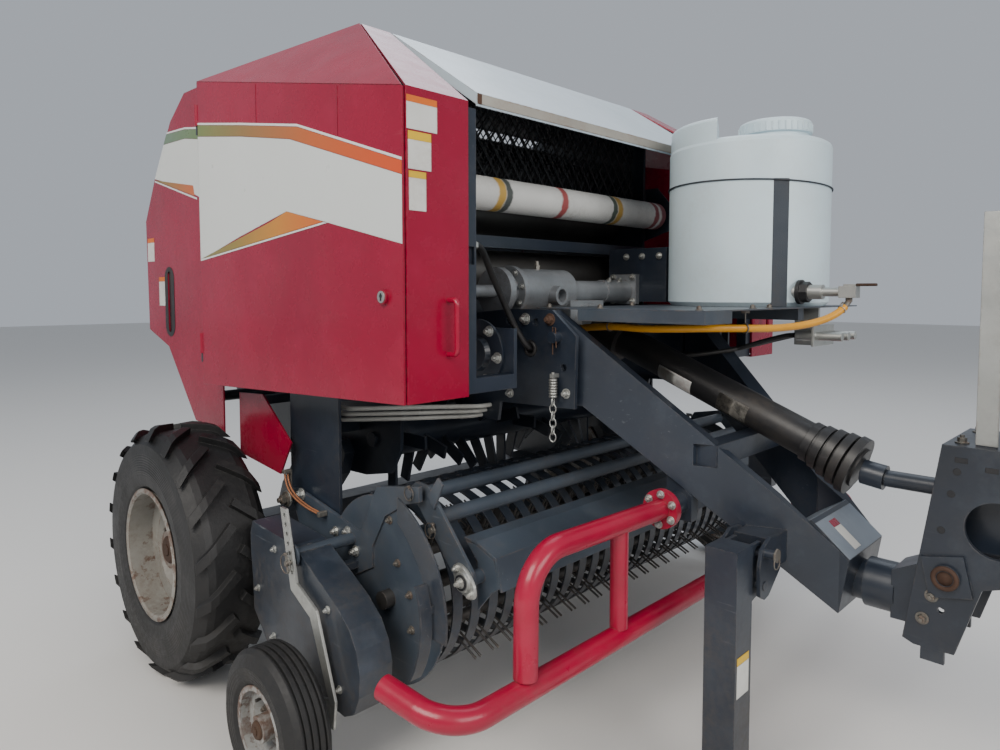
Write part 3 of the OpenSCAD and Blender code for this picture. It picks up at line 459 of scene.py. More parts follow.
# %% Rim paint
def rim_finish(name, axle, hub, lip, colour):
    """Rust spreads outwards from the hub's radius and inwards from the lip's."""
    material = finish(name, colour, 0.42, mud=(0.50, 0.55), wear=1.0, wear_colour=(0.12, 0.050, 0.024),
                      variation=0.22, bump=0.3, mud_colour=(0.12, 0.085, 0.055))
    tree = material.node_tree
    point = object_point(tree)
    ragged = times(tree, math_node(tree, "SUBTRACT", noise(tree, point, 16.0, 6.0, 0.7), 0.5), 0.22)
    distance = place_group(tree, axle_group, Centre_Y=axle.y, Centre_Z=axle.z)["Radius"]
    distance = math_node(tree, "ADD", distance, ragged)
    rusty = math_node(tree, "MAXIMUM", ramp(tree, distance, hub * 1.25, hub * 0.75),
                      ramp(tree, distance, lip * 0.97, lip * 1.02))
    rusty = times(tree, rusty, ramp(tree, noise(tree, point, 40.0, 6.0, 0.7), 0.30, 0.58))
    over_colour(material, times(tree, rusty, 0.85), (0.085, 0.038, 0.020))
    return material


main_rim_paint = rim_finish("main_rim_cream", MAIN_AXLE, 0.095, 0.212, (0.225, 0.220, 0.200))
gauge_rim_paint = rim_finish("gauge_rim_cream", GAUGE_AXLE, 0.042, 0.105, (0.28, 0.29, 0.285))
print(main_rim_paint.name, gauge_rim_paint.name)

# %% [markdown]
# The wound net on its roll is a plain white band of fine threads, so its colour follows the
# distance along the roll: yellow, dark green and red marker rings, and a red end. Each ring is
# given by its place across the machine, its half width and its colour.

# %% Wound net
NET_RINGS = (
    (-0.371, 0.017, (0.50, 0.28, 0.008)), (-0.338, 0.014, (0.010, 0.022, 0.018)),
    (-0.050, 0.016, (0.34, 0.014, 0.016)), (0.251, 0.013, (0.010, 0.035, 0.018)),
    (0.284, 0.016, (0.50, 0.28, 0.008)), (0.545, 0.014, (0.24, 0.010, 0.020)),
    (0.600, 0.022, (0.18, 0.008, 0.020)))


def net_finish():
    material = finish("wound_net", (0.76, 0.755, 0.73), 0.55, mud=(0.2, 0.5), wear=0.0,
                      mud_colour=(0.26, 0.23, 0.19), bump=0.1)
    tree = material.node_tree
    point = object_point(tree)
    wobble = times(tree, math_node(tree, "SUBTRACT", noise(tree, point, 30.0, 3.0, 0.6), 0.5), 0.02)
    along = math_node(tree, "ADD", split_point(tree, point)["X"], wobble)
    wave = add_node(tree, "ShaderNodeTexWave", Scale=110.0, Distortion=3.0, Detail=2.0)
    link(tree, point, wave.inputs["Vector"])
    threads = wave.outputs["Fac"]
    over_colour(material, times(tree, threads, 0.35), (0.34, 0.33, 0.30))
    for centre, width, colour in NET_RINGS:
        off = math_node(tree, "ABSOLUTE", math_node(tree, "SUBTRACT", along, centre))
        band = math_node(tree, "SUBTRACT", 1.0, ramp(tree, off, width * 0.75, width * 1.25))
        over_colour(material, times(tree, band, 0.9), colour)
    over_relief(material, threads, 0.5, 0.002)
    return material


wound_net = net_finish()
print(wound_net.name, "with", len(NET_RINGS), "rings")

# %% [markdown]
# Each CAD node keeps its shape and gets its finish here, by name. A table is easier to read and
# to change than 45 single lines. What it doesn't name is painted the frame's grey.

# %% Dress the CAD nodes
DRESS = (
    (red_paint, ("fixed_covers", "side_door_right", "side_door_left", "tail_covers")),
    (red_tube, ("crop_guard",)),
    (hood_paint, ("hood",)),
    (pale_paint, ("pipes",)),
    (wound_net, ("net_roll",)),
    (worn_steel, ("front_rollers", "tail_rollers", "pickup_reel")),
    (platform_grey, ("platform", "windguard", "pickup_frame")),
    (zinc_steel, ("gate_rod_right", "gate_rod_left", "hose_fittings", "spring_chain", "gauge_bars")),
    (cast_iron, ("gearbox",)),
    (black_paint_and_hole_shade, ("net_grille",)),
    (black_plastic, ("power_shaft",)),
    (tank_plastic, ("tank",)),
    (pickup_grey, ("pickup_shields", "pickup_bands")),
    (main_rubber, ("tyre_right", "tyre_left")),
    (gauge_rubber, ("gauge_tyre_right", "gauge_tyre_left")),
    (main_rim_paint, ("rim_right", "rim_left")),
    (gauge_rim_paint, ("gauge_rim_right", "gauge_rim_left")),
    (hose_yellow, ("tank_hose",)),
)
dressed = {name: material for material, names in DRESS for name in names}
for name, obj in nodes.items():
    obj.data.materials.clear()
    obj.data.materials.append(dressed.get(name, grey_paint))
print("dressed", len(nodes), "CAD nodes,", len(nodes) - len(dressed), "of them frame grey")


# %% [markdown]
# New pieces are built in a bmesh and handed over by one function, which gives them a material and the body
# they ride on. Their place is in their mesh, so each object sits at the origin as the CAD nodes do.

# %% Making a piece
def hand_over(name, data, body):
    obj = bpy.data.objects.new(name, data)
    bpy.context.scene.collection.objects.link(obj)
    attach(obj, body)
    return obj


def make_piece(name, bm, body, material, smooth=False):
    """Turns a finished bmesh into a piece that rides on a body."""
    bmesh.ops.recalc_face_normals(bm, faces=bm.faces[:])
    mesh = bpy.data.meshes.new(name)
    bm.to_mesh(mesh)
    bm.free()
    mesh.materials.append(material)
    mesh.polygons.foreach_set("use_smooth", [smooth] * len(mesh.polygons))
    return hand_over(name, mesh, body)


print("piece helper ready")

# %% [markdown]
# Most small parts of a baler are bars, boxes, thin plates and rings of wire. Each has a helper
# that starts from one of Blender's create operators and is finished by extrude, bevel or spin.
# A spin with its doubles merged gives a closed ring.

# %% Bars, boxes, plates and rings
def aim(direction):
    """The turn that takes +Z to a direction."""
    return Vector(direction).to_track_quat("Z", "Y").to_matrix().to_4x4()


def add_rod(bm, start, end, radius, segments, radius_end=None):
    """A round or many-sided bar between two points, tapered if its end has its own radius."""
    start, end = Vector(start), Vector(end)
    middle = Matrix.Translation((start + end) / 2) @ aim(end - start)
    bmesh.ops.create_cone(bm, cap_ends=True, segments=segments, radius1=radius,
                          radius2=radius if radius_end is None else radius_end,
                          depth=(end - start).length, matrix=middle)


def add_block(bm, low, high, soften=0.0):
    """A box between two corners, its edges softened if asked."""
    low, high = Vector(low), Vector(high)
    size = Matrix.Diagonal((*(high - low), 1.0))
    made = bmesh.ops.create_cube(bm, size=1.0, matrix=Matrix.Translation((low + high) / 2) @ size)
    if soften:
        edges = list({e for v in made["verts"] for e in v.link_edges})
        bmesh.ops.bevel(bm, geom=edges, offset=soften, offset_type="OFFSET", segments=2, profile=0.5,
                        affect="EDGES", material=-1)


def thicken(bm, faces, way):
    """Extrudes flat faces along a vector."""
    grown = bmesh.ops.extrude_face_region(bm, geom=faces)["geom"]
    bmesh.ops.translate(bm, verts=[v for v in grown if isinstance(v, bmesh.types.BMVert)], vec=way)


def add_panel(bm, outline, way):
    """A thin flat shape from its corner points."""
    thicken(bm, [bm.faces.new([bm.verts.new(point) for point in outline])], way)


def upright(x0, x1, z0, z1):
    """The four corners of an upright rectangle, seen from its front."""
    return (x0, z0), (x1, z0), (x1, z1), (x0, z1)


def add_ring(bm, centre, axis, radius, wire, steps, sides=8, start=(1, 0, 0)):
    """A closed ring, spun from a small circle of wire."""
    centre, axis = Vector(centre), Vector(axis).normalized()
    out = (Vector(start) - axis * Vector(start).dot(axis)).normalized()
    seed = Matrix.Translation(centre + out * radius) @ aim(axis.cross(out))
    made = bmesh.ops.create_circle(bm, segments=sides, radius=wire, matrix=seed)["verts"]
    bmesh.ops.spin(bm, geom=made + list({e for v in made for e in v.link_edges}), cent=centre, axis=axis,
                   angle=2 * math.pi, steps=steps, use_merge=True, use_duplicate=False)


print("shape helpers ready")


# %% [markdown]
# A bolt that holds a plate shows a washer, a hexagon head and often the end of its thread. It
# is repeated all over the machine, so it is kept to a few dozen faces.

# %% A bolt
def add_bolt(bm, centre, direction, size, turn=0.0, stud=0.35):
    """A washer, a head and a thread end, all as shares of one size."""
    centre, direction = Vector(centre), Vector(direction).normalized()
    spin = aim(direction) @ Matrix.Rotation(turn, 4, "Z")
    layers = [(0.0, 0.14, 0.84, 16), (0.10, 0.72, 0.56, 6)]
    if stud:
        layers.append((0.60, 0.72 + stud, 0.29, 10))
    for low, high, radius, segments in layers:
        place = Matrix.Translation(centre + direction * size * (low + high) / 2) @ spin
        bmesh.ops.create_cone(bm, cap_ends=True, segments=segments, radius1=size * radius,
                              radius2=size * radius, depth=size * (high - low), matrix=place)


def bolt_circle(bm, centre, direction, radius, count, size, first=0.3, stud=0.35):
    centre, direction = Vector(centre), Vector(direction).normalized()
    side = direction.orthogonal().normalized()
    for k in range(count):
        arm = Matrix.Rotation(first + k * 2 * math.pi / count, 4, direction) @ side
        add_bolt(bm, centre + arm * radius, direction, size, turn=k * 0.7, stud=stud)


def side_bolts(bm, x, size, points, twist=0.0):
    """The same bolts on the right and left outer faces at x, turned by their place along it."""
    for side, label in SIDES:
        for y, z in points:
            add_bolt(bm, at(side * x, y, z), (side, 0, 0), size, turn=y * twist)


print("bolt helpers ready")

# %% [markdown]
# A hose is a fixed length of something flexible. Its line here is a smooth curve through a few
# chosen points: straight out of its fitting, down in a sag under its own weight, and into what
# it feeds. A Catmull-Rom curve passes through every point, so the route stays readable.

# %% Hose lines
def smooth_line(points, steps):
    """A Catmull-Rom curve through the points, in short straight steps."""
    points = [Vector(p) for p in points]
    padded = [points[0] * 2 - points[1]] + points + [points[-1] * 2 - points[-2]]
    line = []
    for a, b, c, d in zip(padded, padded[1:], padded[2:], padded[3:]):
        for k in range(steps):
            t = k / steps
            line.append(0.5 * ((2 * b) + (c - a) * t + (2 * a - 5 * b + 4 * c - d) * t * t
                               + (3 * b - a - 3 * c + d) * t ** 3))
    return line + [points[-1]]


def line_length(line):
    return sum((b - a).length for a, b in zip(line, line[1:]))


def make_line(name, line, radius, body, material, sides):
    """A round line as a curve with a bevel, closed at both ends."""
    curve = bpy.data.curves.new(name, "CURVE")
    curve.dimensions = "3D"
    curve.bevel_depth, curve.bevel_resolution = radius, sides
    curve.use_fill_caps = True
    spline = curve.splines.new("POLY")
    spline.points.add(len(line) - 1)
    for node, point in zip(spline.points, line):
        node.co = (*point, 1.0)
    spline.use_smooth = True
    curve.materials.append(material)
    return hand_over(name, curve, body)


print("hose helpers ready")

# %% [markdown]
# The yellow hose drains the tank. It leaves the valve at a slant, hangs in a shallow curve below
# the platform's front edge, and runs back under the platform to a union on the cross plate. Two
# wire hooks under the platform carry it. It stands for the CAD hose, whose route it repeats.

# %% Yellow tank hose
YELLOW_RADIUS = 0.011
yellow_route = [at(*p) for p in (
    (0.2560, -1.6590, 1.2340), (0.222, -1.643, 1.2115), (0.170, -1.618, 1.1925), (0.100, -1.586, 1.1800),
    (0.000, -1.550, 1.1745), (-0.100, -1.512, 1.1765), (-0.180, -1.452, 1.1775), (-0.222, -1.362, 1.1745),
    (-0.234, -1.255, 1.1715), (-0.234, -1.140, 1.1740), (-0.233, -1.000, 1.1640), (-0.231, -0.870, 1.1600),
    (-0.230, -0.790, 1.1635), (-0.230, -0.7660, 1.1640))]
yellow_line = smooth_line(yellow_route, 3)
yellow_hose = make_line("yellow_tank_hose", yellow_line, YELLOW_RADIUS, "chassis", hose_yellow,
                        6)
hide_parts("tank_hose")

bm = bmesh.new()
add_rod(bm, at(0.272, -1.665, 1.2618), at(0.272, -1.665, 1.2500), 0.0105, 6)
add_rod(bm, at(0.272, -1.665, 1.2520), at(0.2540, -1.6582, 1.2325), 0.0086, 16)
make_piece("hose_elbow", bm, "chassis", dark_bolt)
bm = bmesh.new()
clamp_at = yellow_line[1]
add_ring(bm, clamp_at, yellow_line[2] - yellow_line[0], YELLOW_RADIUS + 0.0008, 0.0016, 24, sides=6)
add_block(bm, clamp_at + Vector((-0.004, -0.004, 0.011)), clamp_at + Vector((0.004, 0.004, 0.019)))
hose_clamp = make_piece("hose_clamp", bm, "chassis", zinc_steel)
bm = bmesh.new()
add_rod(bm, at(-0.230, -0.7660, 1.1640), at(-0.230, -0.7452, 1.1640), 0.0150, 6)
add_rod(bm, at(-0.230, -0.7900, 1.1636), at(-0.230, -0.7665, 1.1640), 0.0128, 20)
make_piece("hose_union", bm, "chassis", zinc_steel)

# %% [markdown]
# The hooks are bent wire with a ring for the hose and a short foot against the sheet. A spun
# ring and a thin rod show that at this size.

# %% Hooks under the platform
PLATFORM_UNDERSIDE, WIRE = 1.2278, 0.0022
bm = bmesh.new()
for spot, along in ((yellow_route[5], (1, -0.4, 0)), (yellow_route[9], (0.2, 1, 0))):
    add_ring(bm, spot, along, 0.0135, WIRE, 24, sides=6)
    add_rod(bm, (spot.x, spot.y, spot.z + 0.0130), (spot.x, spot.y, 1.2200), WIRE, 8)
    add_block(bm, (spot.x - 0.012, spot.y - 0.007, 1.2200),
              (spot.x + 0.012, spot.y + 0.007, PLATFORM_UNDERSIDE))
make_piece("hose_hooks", bm, "chassis", dark_bolt)
print("two hose hooks")

# %% [markdown]
# A black hydraulic hose leaves the front post, hangs in one loop across the gearbox's end and
# goes into the hole of the drawbar's side plate, through a rubber grommet. Three more run back
# from the couplers under the platform to unions on the cross plate.

# %% Black hoses
def black_hose(name, route, radius, sides):
    """A black hose on the chassis. Its length is measured along its line and printed."""
    line = smooth_line([at(*p) for p in route], 3)
    hose = make_line(name, line, radius, "chassis", hose_black, sides)
    print(name, "%.3f m long" % line_length(line))


black_hose("gate_hose", (
    (-0.7640, -1.0780, 1.4020), (-0.7350, -1.0720, 1.4025), (-0.6900, -1.0480, 1.3890),
    (-0.6400, -1.0170, 1.3560), (-0.5900, -0.9930, 1.3110), (-0.5450, -0.9790, 1.2620),
    (-0.5080, -0.9730, 1.2120), (-0.4780, -0.9760, 1.1650), (-0.4560, -0.9840, 1.1300),
    (-0.4380, -0.9890, 1.1130), (-0.4215, -0.9900, 1.1080)), 0.0095, 6)
COUPLER_UNIONS = (0.290, 0.240, 0.190)
for i, back in enumerate(COUPLER_UNIONS):
    x = 0.385 + 0.06 * i
    black_hose("coupler_hose_%d" % (i + 1), (
        (x, -1.4615, 1.1340), (x, -1.4250, 1.1310), (x - 0.02 - 0.02 * i, -1.3500, 1.1080),
        (x - 0.06 - 0.07 * i, -1.2550, 1.0750), (back, -1.1300, 1.0560), (back, -1.0000, 1.0600),
        (back, -0.8800, 1.0820), (back, -0.7900, 1.0990), (back, -0.7660, 1.1000)), 0.0080, 5)

# %% [markdown]
# Each hose ends in something solid: crimped ferrules and unions in zinc, and a grommet where
# the side plate's hole would cut the rubber.

# %% Ends of the black hoses
bm = bmesh.new()
for back in COUPLER_UNIONS:
    add_rod(bm, at(back, -0.7452, 1.1000), at(back, -0.7660, 1.1000), 0.0120, 6)
    add_rod(bm, at(back, -0.7665, 1.1000), at(back, -0.7880, 1.0990), 0.0102, 16)
add_rod(bm, at(-0.7638, -1.0780, 1.4020), at(-0.7440, -1.0750, 1.4023), 0.0125, 6)
make_piece("hose_unions", bm, "chassis", zinc_steel)
bm = bmesh.new()
add_ring(bm, at(-0.4330, -0.9900, 1.1090), (1, 0, 0), 0.0190, 0.0062, 32, start=(0, 1, 0))
make_piece("hose_grommet", bm, "chassis", hose_black, smooth=True)
print("unions and grommet")

# %% [markdown]
# The side doors and the tail covers carry printed bands: a thin white line, a band that runs
# from green to orange, a white field and an orange wedge under it. On the machine they are
# stuck films, so each is a panel a fraction of a millimetre thick with its own colour ramp,
# and it has the same soft dents as the sheet that it lies on.

# %% Film material
def film(name, colours, low, high):
    """A printed film whose colour runs along the machine from one Y to another."""
    material = finish(name, colours[0], 0.26, coat=0.3, mud=(0.9, 0.22), mud_colour=(0.30, 0.26, 0.22),
                      wear=0.0, variation=0.05, bump=0.02, scratches=0.3, dents=0.45)
    tree = material.node_tree
    socket = tree.nodes["Principled BSDF"].inputs["Base Color"]
    blend = tree.nodes.new("ShaderNodeValToRGB")
    blend.color_ramp.elements[0].color = colours[0] + (1,)
    blend.color_ramp.elements[1].color = colours[-1] + (1,)
    for i, colour in enumerate(colours[1:-1]):
        blend.color_ramp.elements.new((i + 1) / (len(colours) - 1)).color = colour + (1,)
    link(tree, ramp(tree, split_point(tree, object_point(tree))["Y"], low, high), blend.inputs[0])
    link(tree, mix_colour(tree, 0.20, blend.outputs[0], socket.links[0].from_socket), socket)
    return material


film_white = film("film_white", [(0.56, 0.59, 0.58), (0.60, 0.62, 0.60)], -0.3, 1.0)
film_line = film("film_line", [(0.66, 0.67, 0.66)] * 2, -0.3, 1.0)
film_band = film("film_band", [(0.55, 0.060, 0.006), (0.42, 0.100, 0.016), (0.16, 0.15, 0.040),
                               (0.006, 0.22, 0.050), (0.004, 0.20, 0.13)], AXLE_Y - 1.113, AXLE_Y + 0.45)
film_wedge = film("film_wedge", [(0.55, 0.095, 0.008), (0.46, 0.21, 0.015), (0.16, 0.19, 0.03),
                                 (0.07, 0.17, 0.07)], AXLE_Y - 0.78, AXLE_Y + 0.02)
film_tail_wedge = film("film_tail_wedge", [(0.50, 0.10, 0.014), (0.07, 0.17, 0.03)], AXLE_Y + 0.22,
                       AXLE_Y + 0.60)
print("films", film_white.name, film_band.name)

# %% [markdown]
# The outlines are points of each sheet's own plane, along the machine and up, and are the same
# on both sides. The wedge lies on the white field, so it sits one film higher. That is the
# number after each film's colour.

# %% Films on the doors and the tail
FILM, GAP = 0.0006, 0.0001
DOOR_FACE, TAIL_FACE = 1.006, 0.930
door_films = {
    "white": (film_white, 0, [
        (-1.105, 1.552), (-0.600, 1.706), (-0.300, 1.758), (0.006, 1.803), (0.006, 1.388),
        (-0.286, 1.452), (-0.576, 1.508), (-0.767, 1.467), (-1.105, 1.392)]),
    "line": (film_line, 0, [
        (-1.105, 1.592), (-0.640, 1.742), (-0.300, 1.800), (0.006, 1.849), (0.006, 1.842),
        (-0.300, 1.793), (-0.640, 1.735), (-1.105, 1.585)]),
    "band": (film_band, 0, [
        (-1.105, 1.584), (-0.640, 1.734), (-0.300, 1.792), (0.006, 1.841), (0.006, 1.804),
        (-0.300, 1.759), (-0.600, 1.707), (-1.105, 1.553)]),
    "wedge": (film_wedge, 1, [(-0.767, 1.466), (-0.576, 1.508), (-0.480, 1.484), (0.002, 1.392)]),
    "wedge_line": (film_line, 1, [(-0.790, 1.462), (-0.767, 1.465), (0.004, 1.391), (0.004, 1.385)]),
}
tail_films = {
    "line": (film_line, 0, [
        (0.032, 1.853), (0.300, 1.893), (0.470, 1.900), (0.475, 1.894), (0.300, 1.886), (0.032, 1.846)]),
    "band": (film_band, 0, [
        (0.032, 1.845), (0.300, 1.885), (0.476, 1.893), (0.505, 1.858), (0.300, 1.852), (0.032, 1.808)]),
    "white": (film_white, 0, [
        (0.032, 1.807), (0.300, 1.851), (0.505, 1.857), (0.606, 1.735), (0.400, 1.690), (0.230, 1.640),
        (0.032, 1.575)]),
    "wedge": (film_tail_wedge, 1, [(0.600, 1.729), (0.236, 1.672), (0.224, 1.632)]),
    "wedge_line": (film_line, 1, [(0.604, 1.728), (0.204, 1.624), (0.204, 1.617), (0.604, 1.722)]),
}
for side, label in SIDES:
    for kind, films, face, body in (("door", door_films, DOOR_FACE, "door_" + label),
                                    ("tail", tail_films, TAIL_FACE, "tailgate")):
        for name, (material, lift, outline) in films.items():
            bm = bmesh.new()
            x = side * (face + GAP + lift * FILM)
            add_panel(bm, [at(x, y, z) for y, z in outline], Vector((side * FILM, 0, 0)))
            make_piece("%s_%s_%s" % (kind, name, label), bm, body, material)
print("films on both sides:", 2 * (len(door_films) + len(tail_films)))

# %% [markdown]
# Plain stickers with a coloured head stand on the covers: three on each front face and two on
# each tail cover. A white field and its head are two panels side by side, because two thin
# solids that lie in each other would flicker.

# %% Stickers on the covers
FRONT_FACE = -1.1103
bm_white, bm_orange, bm_yellow = bmesh.new(), bmesh.new(), bmesh.new()
for x0, x1, z0, z1, head, bm_head in ((0.903, 0.996, 1.659, 1.737, 0.016, bm_orange),
                                      (0.922, 0.992, 1.567, 1.655, 0.020, bm_yellow),
                                      (0.938, 0.990, 1.471, 1.563, 0.016, bm_yellow)):
    for side, label in SIDES:
        for bm_part, low, high in ((bm_white, z0, z1 - head), (bm_head, z1 - head, z1)):
            add_panel(bm_part, [at(side * x, FRONT_FACE, z) for x, z in upright(x0, x1, low, high)],
                      Vector((0, -FILM, 0)))
make_piece("front_labels", bm_white, "chassis", label_white)
make_piece("front_label_heads", bm_orange, "chassis", label_orange)
make_piece("front_label_bands", bm_yellow, "chassis", label_yellow)
bm_white, bm_orange = bmesh.new(), bmesh.new()
for y0, y1, z0, z1 in ((0.632, 0.702, 1.405, 1.500), (0.520, 0.590, 1.225, 1.340)):
    for side, label in SIDES:
        for bm_part, low, high in ((bm_white, z0, z1 - 0.018), (bm_orange, z1 - 0.018, z1)):
            add_panel(bm_part, [at(side * (TAIL_FACE + GAP), y, z) for y, z in upright(y0, y1, low, high)],
                      Vector((side * FILM, 0, 0)))
make_piece("tail_labels", bm_white, "tailgate", label_white)
make_piece("tail_label_heads", bm_orange, "tailgate", label_orange)
print("stickers on the covers")

# %% [markdown]
# The stand's leg and the nose carry one sticker each. The nose's top plate is a separate sheet, and its
# grey, much paler than the arms', is painted sky light on that upward slope, so it gets its own thin plate
# laid on the slope between the CAD nose's upper corners. One helper gives the points of that slope.

# %% Painted sky light on the nose, and the other stickers
nose_out = Vector((0, -0.650, 0.760))


def nose_point(x, y, lift):
    """A point on the nose's front slope, lifted off it."""
    return at(x, y, 0.6247 + (y + 1.78) * 0.8553) + nose_out * lift


# Painted sky light: a thin pale plate on each upward face of the nose.
bm = bmesh.new()
add_panel(bm, [nose_point(x, y, 0.0008) for x, y in upright(-0.128, 0.128, -1.7305, -1.8195)],
          nose_out * 0.0020)
add_panel(bm, [at(-0.128, -1.6420, 0.6218), at(0.128, -1.6420, 0.6218), at(0.128, -1.7215, 0.6754),
               at(-0.128, -1.7215, 0.6754)], Vector((0, 0.0011, 0.0016)))
make_piece("nose_sky_lit_plate", bm, "chassis", nose_sky_lit_grey)
bm_white, bm_red = bmesh.new(), bmesh.new()
for bm_part, low, high in ((bm_white, -1.8100, -1.7560), (bm_red, -1.7555, -1.7400)):
    add_panel(bm_part, [nose_point(x, y, 0.0029) for x, y in upright(-0.062, -0.018, low, high)],
              nose_out * 0.0005)
make_piece("nose_label", bm_white, "chassis", label_white)
make_piece("nose_label_head", bm_red, "chassis", red_paint)
bm_white, bm_yellow = bmesh.new(), bmesh.new()
for bm_part, low, high in ((bm_white, 0.290, 0.372), (bm_yellow, 0.3725, 0.392)):
    add_panel(bm_part, [at(x, -1.6722, z) for x, z in upright(-0.440, -0.378, low, high)],
              Vector((0, -FILM, 0)))
make_piece("stand_label", bm_white, "stand", label_white)
make_piece("stand_label_head", bm_yellow, "stand", label_yellow)
print("nose plate, nose sticker, stand sticker")

# %% [markdown]
# The drive shaft's guard is a black tube with two pale stickers that have half worn away. Such
# a sticker is a part of a thin tube, so it is spun from a line beside the shaft's axis.

# %% Stickers on the shaft guard
GUARD_RADIUS = 0.0526
shaft_a, shaft_b = at(0, -0.925, 1.160), at(0, -1.800, 0.804)
shaft_way = (shaft_b - shaft_a).normalized()
wrap_turn = 1.15
for name, from_a, length, middle, material in (
        ("shaft_label_upper", 0.300, 0.125, 0.55, label_white),
        ("shaft_label_lower", 0.520, 0.100, 0.25, label_worn)):
    bm = bmesh.new()
    out = Matrix.Rotation(middle - wrap_turn / 2, 4, shaft_way) @ Vector((-1, 0, 0))
    foot = shaft_a + shaft_way * from_a + out * GUARD_RADIUS
    ends = [bm.verts.new(foot), bm.verts.new(foot + shaft_way * length)]
    bmesh.ops.spin(bm, geom=ends + [bm.edges.new(ends)], cent=shaft_a, axis=shaft_way, angle=wrap_turn,
                   steps=10, use_merge=False, use_duplicate=False)
    bmesh.ops.solidify(bm, geom=bm.faces[:], thickness=0.0004)
    make_piece(name, bm, "power_shaft", material, smooth=True)
print("shaft stickers")

# %% [markdown]
# The grille behind the net roll is expanded metal with cells about 22 mm wide. The CAD has
# every third strand, which is enough for its shape, and the scene adds the fine ones between
# them in the same two layers. Each is a four-sided prism.

# %% Fine strands of the net grille
grille_low, grille_high, grille_side = 1.5792, 1.9448, 0.600
strand_lean, strand_pitch = 0.366 / 1.28, 0.060
bm = bmesh.new()
strands = 0
for layer_y, way in ((-0.6525, 1), (-0.6465, -1)):
    for k in range(-8, 22):
        for step in (0.020, 0.040):
            foot = -0.5627 + strand_pitch * (k - 4) + step
            low, high = [[foot + strand_lean * (z - grille_low) / 0.3656, z]
                         for z in (grille_low, grille_high)]
            if high[0] <= -grille_side or low[0] >= grille_side:
                continue
            rise = (high[1] - low[1]) / (high[0] - low[0])
            if low[0] < -grille_side:
                low = [-grille_side, low[1] + (-grille_side - low[0]) * rise]
            if high[0] > grille_side:
                high = [grille_side, high[1] + (grille_side - high[0]) * rise]
            add_rod(bm, at(way * low[0], layer_y, low[1]), at(way * high[0], layer_y, high[1]), 0.0027, 4)
            strands += 1
make_piece("grille_strands", bm, "chassis", black_paint_and_hole_shade)
print("grille strands", strands)

# %% [markdown]
# Each tail cover has a tall hand slot with worn black rubber edging, and a flap hangs behind it.
# The edging is two rounded outlines bridged into a flat ring, so it follows the slot's shape.

# %% Hand slot edging and flap
ROUND_STEPS = 9


def slot_outline(bm, side, half_wide, half_high):
    """An upright outline with round ends on a tail cover's outside."""
    points = []
    for z_way, first in ((1, 0.0), (-1, math.pi)):
        for k in range(ROUND_STEPS + 1):
            turn = first + math.pi * k / ROUND_STEPS
            points.append(at(side * (TAIL_FACE + GAP), 0.4835 + half_wide * math.cos(turn),
                             1.2415 + z_way * (half_high - half_wide) + half_wide * math.sin(turn)))
    corners = [bm.verts.new(point) for point in points]
    return [bm.edges.new(pair) for pair in zip(corners, corners[1:] + corners[:1])]


for side, label in SIDES:
    bm = bmesh.new()
    loops = slot_outline(bm, side, 0.046, 0.138) + slot_outline(bm, side, 0.0175, 0.120)
    thicken(bm, bmesh.ops.bridge_loops(bm, edges=loops)["faces"], (side * 0.0012, 0, 0))
    make_piece("slot_edging_" + label, bm, "tailgate", black_plastic)
    bm = bmesh.new()
    add_block(bm, at(side * 0.9248, 0.4400, 1.0950), at(side * 0.9225, 0.5350, 1.3900))
    make_piece("slot_flap_" + label, bm, "tailgate", black_plastic)
print("slot edging and flaps")

# %% [markdown]
# The hood's front edge is a folded lip with its paint worn off, and its ends have rusted. Both
# are thin strips laid on the CAD hood's own edges, so they swing with it.

# %% Hood lip
bm = bmesh.new()
add_block(bm, at(-0.6495, -0.9865, 1.8000), at(0.6495, -0.9852, 1.8285))
make_piece("hood_lip", bm, "hood", lip_paint)
bm = bmesh.new()
for side, label in SIDES:
    add_block(bm, at(side * 0.6495, -0.9872, 1.8000), at(side * 0.6330, -0.9863, 1.8288))
make_piece("hood_lip_rust", bm, "hood", rust)
print("hood lip")

# %% [markdown]
# The doors are folded from one sheet with two standing seams above the printed band, and each is shut by a
# round latch with a keyhole. Seams are thin ribs that end on the door's sloping top edge, and the keyhole
# is painted shade: a dark slot on a small round plate.

# %% Door seams and latches
for side, label in SIDES:
    door = "door_" + label
    bm = bmesh.new()
    for y, low in ((-0.404, 1.784), (-0.839, 1.681)):
        top = 1.7570 + (y + 1.106) / 1.1147 * 0.230 - 0.006
        add_block(bm, at(side * 1.0061, y - 0.0018, low), at(side * 1.0071, y + 0.0018, top))
    make_piece("door_seams_" + label, bm, door, red_paint)
    bm = bmesh.new()
    add_rod(bm, at(side * 1.0151, -1.033, 1.268), at(side * 1.0172, -1.033, 1.268), 0.0145, 28)
    make_piece("latch_plate_" + label, bm, door, zinc_steel)
    # The keyhole's darkness is painted shade: a thin black slot and a black disc on the latch plate.
    bm = bmesh.new()
    add_block(bm, at(side * 1.0173, -1.0355, 1.2590), at(side * 1.0181, -1.0305, 1.2770))
    add_rod(bm, at(side * 1.0173, -1.033, 1.2700), at(side * 1.0182, -1.033, 1.2700), 0.0050, 16)
    make_piece("latch_keyhole_shade_" + label, bm, door, black_paint_and_hole_shade)
print("door seams and latches on both sides")

# %% [markdown]
# The tank stands loose on the platform inside a thin black rope hoop, with one webbing strap
# down its front. The hoop is a spun ring. The strap is a ribbon that follows the wall: a narrow
# upright edge spun by a few degrees and given a thickness.

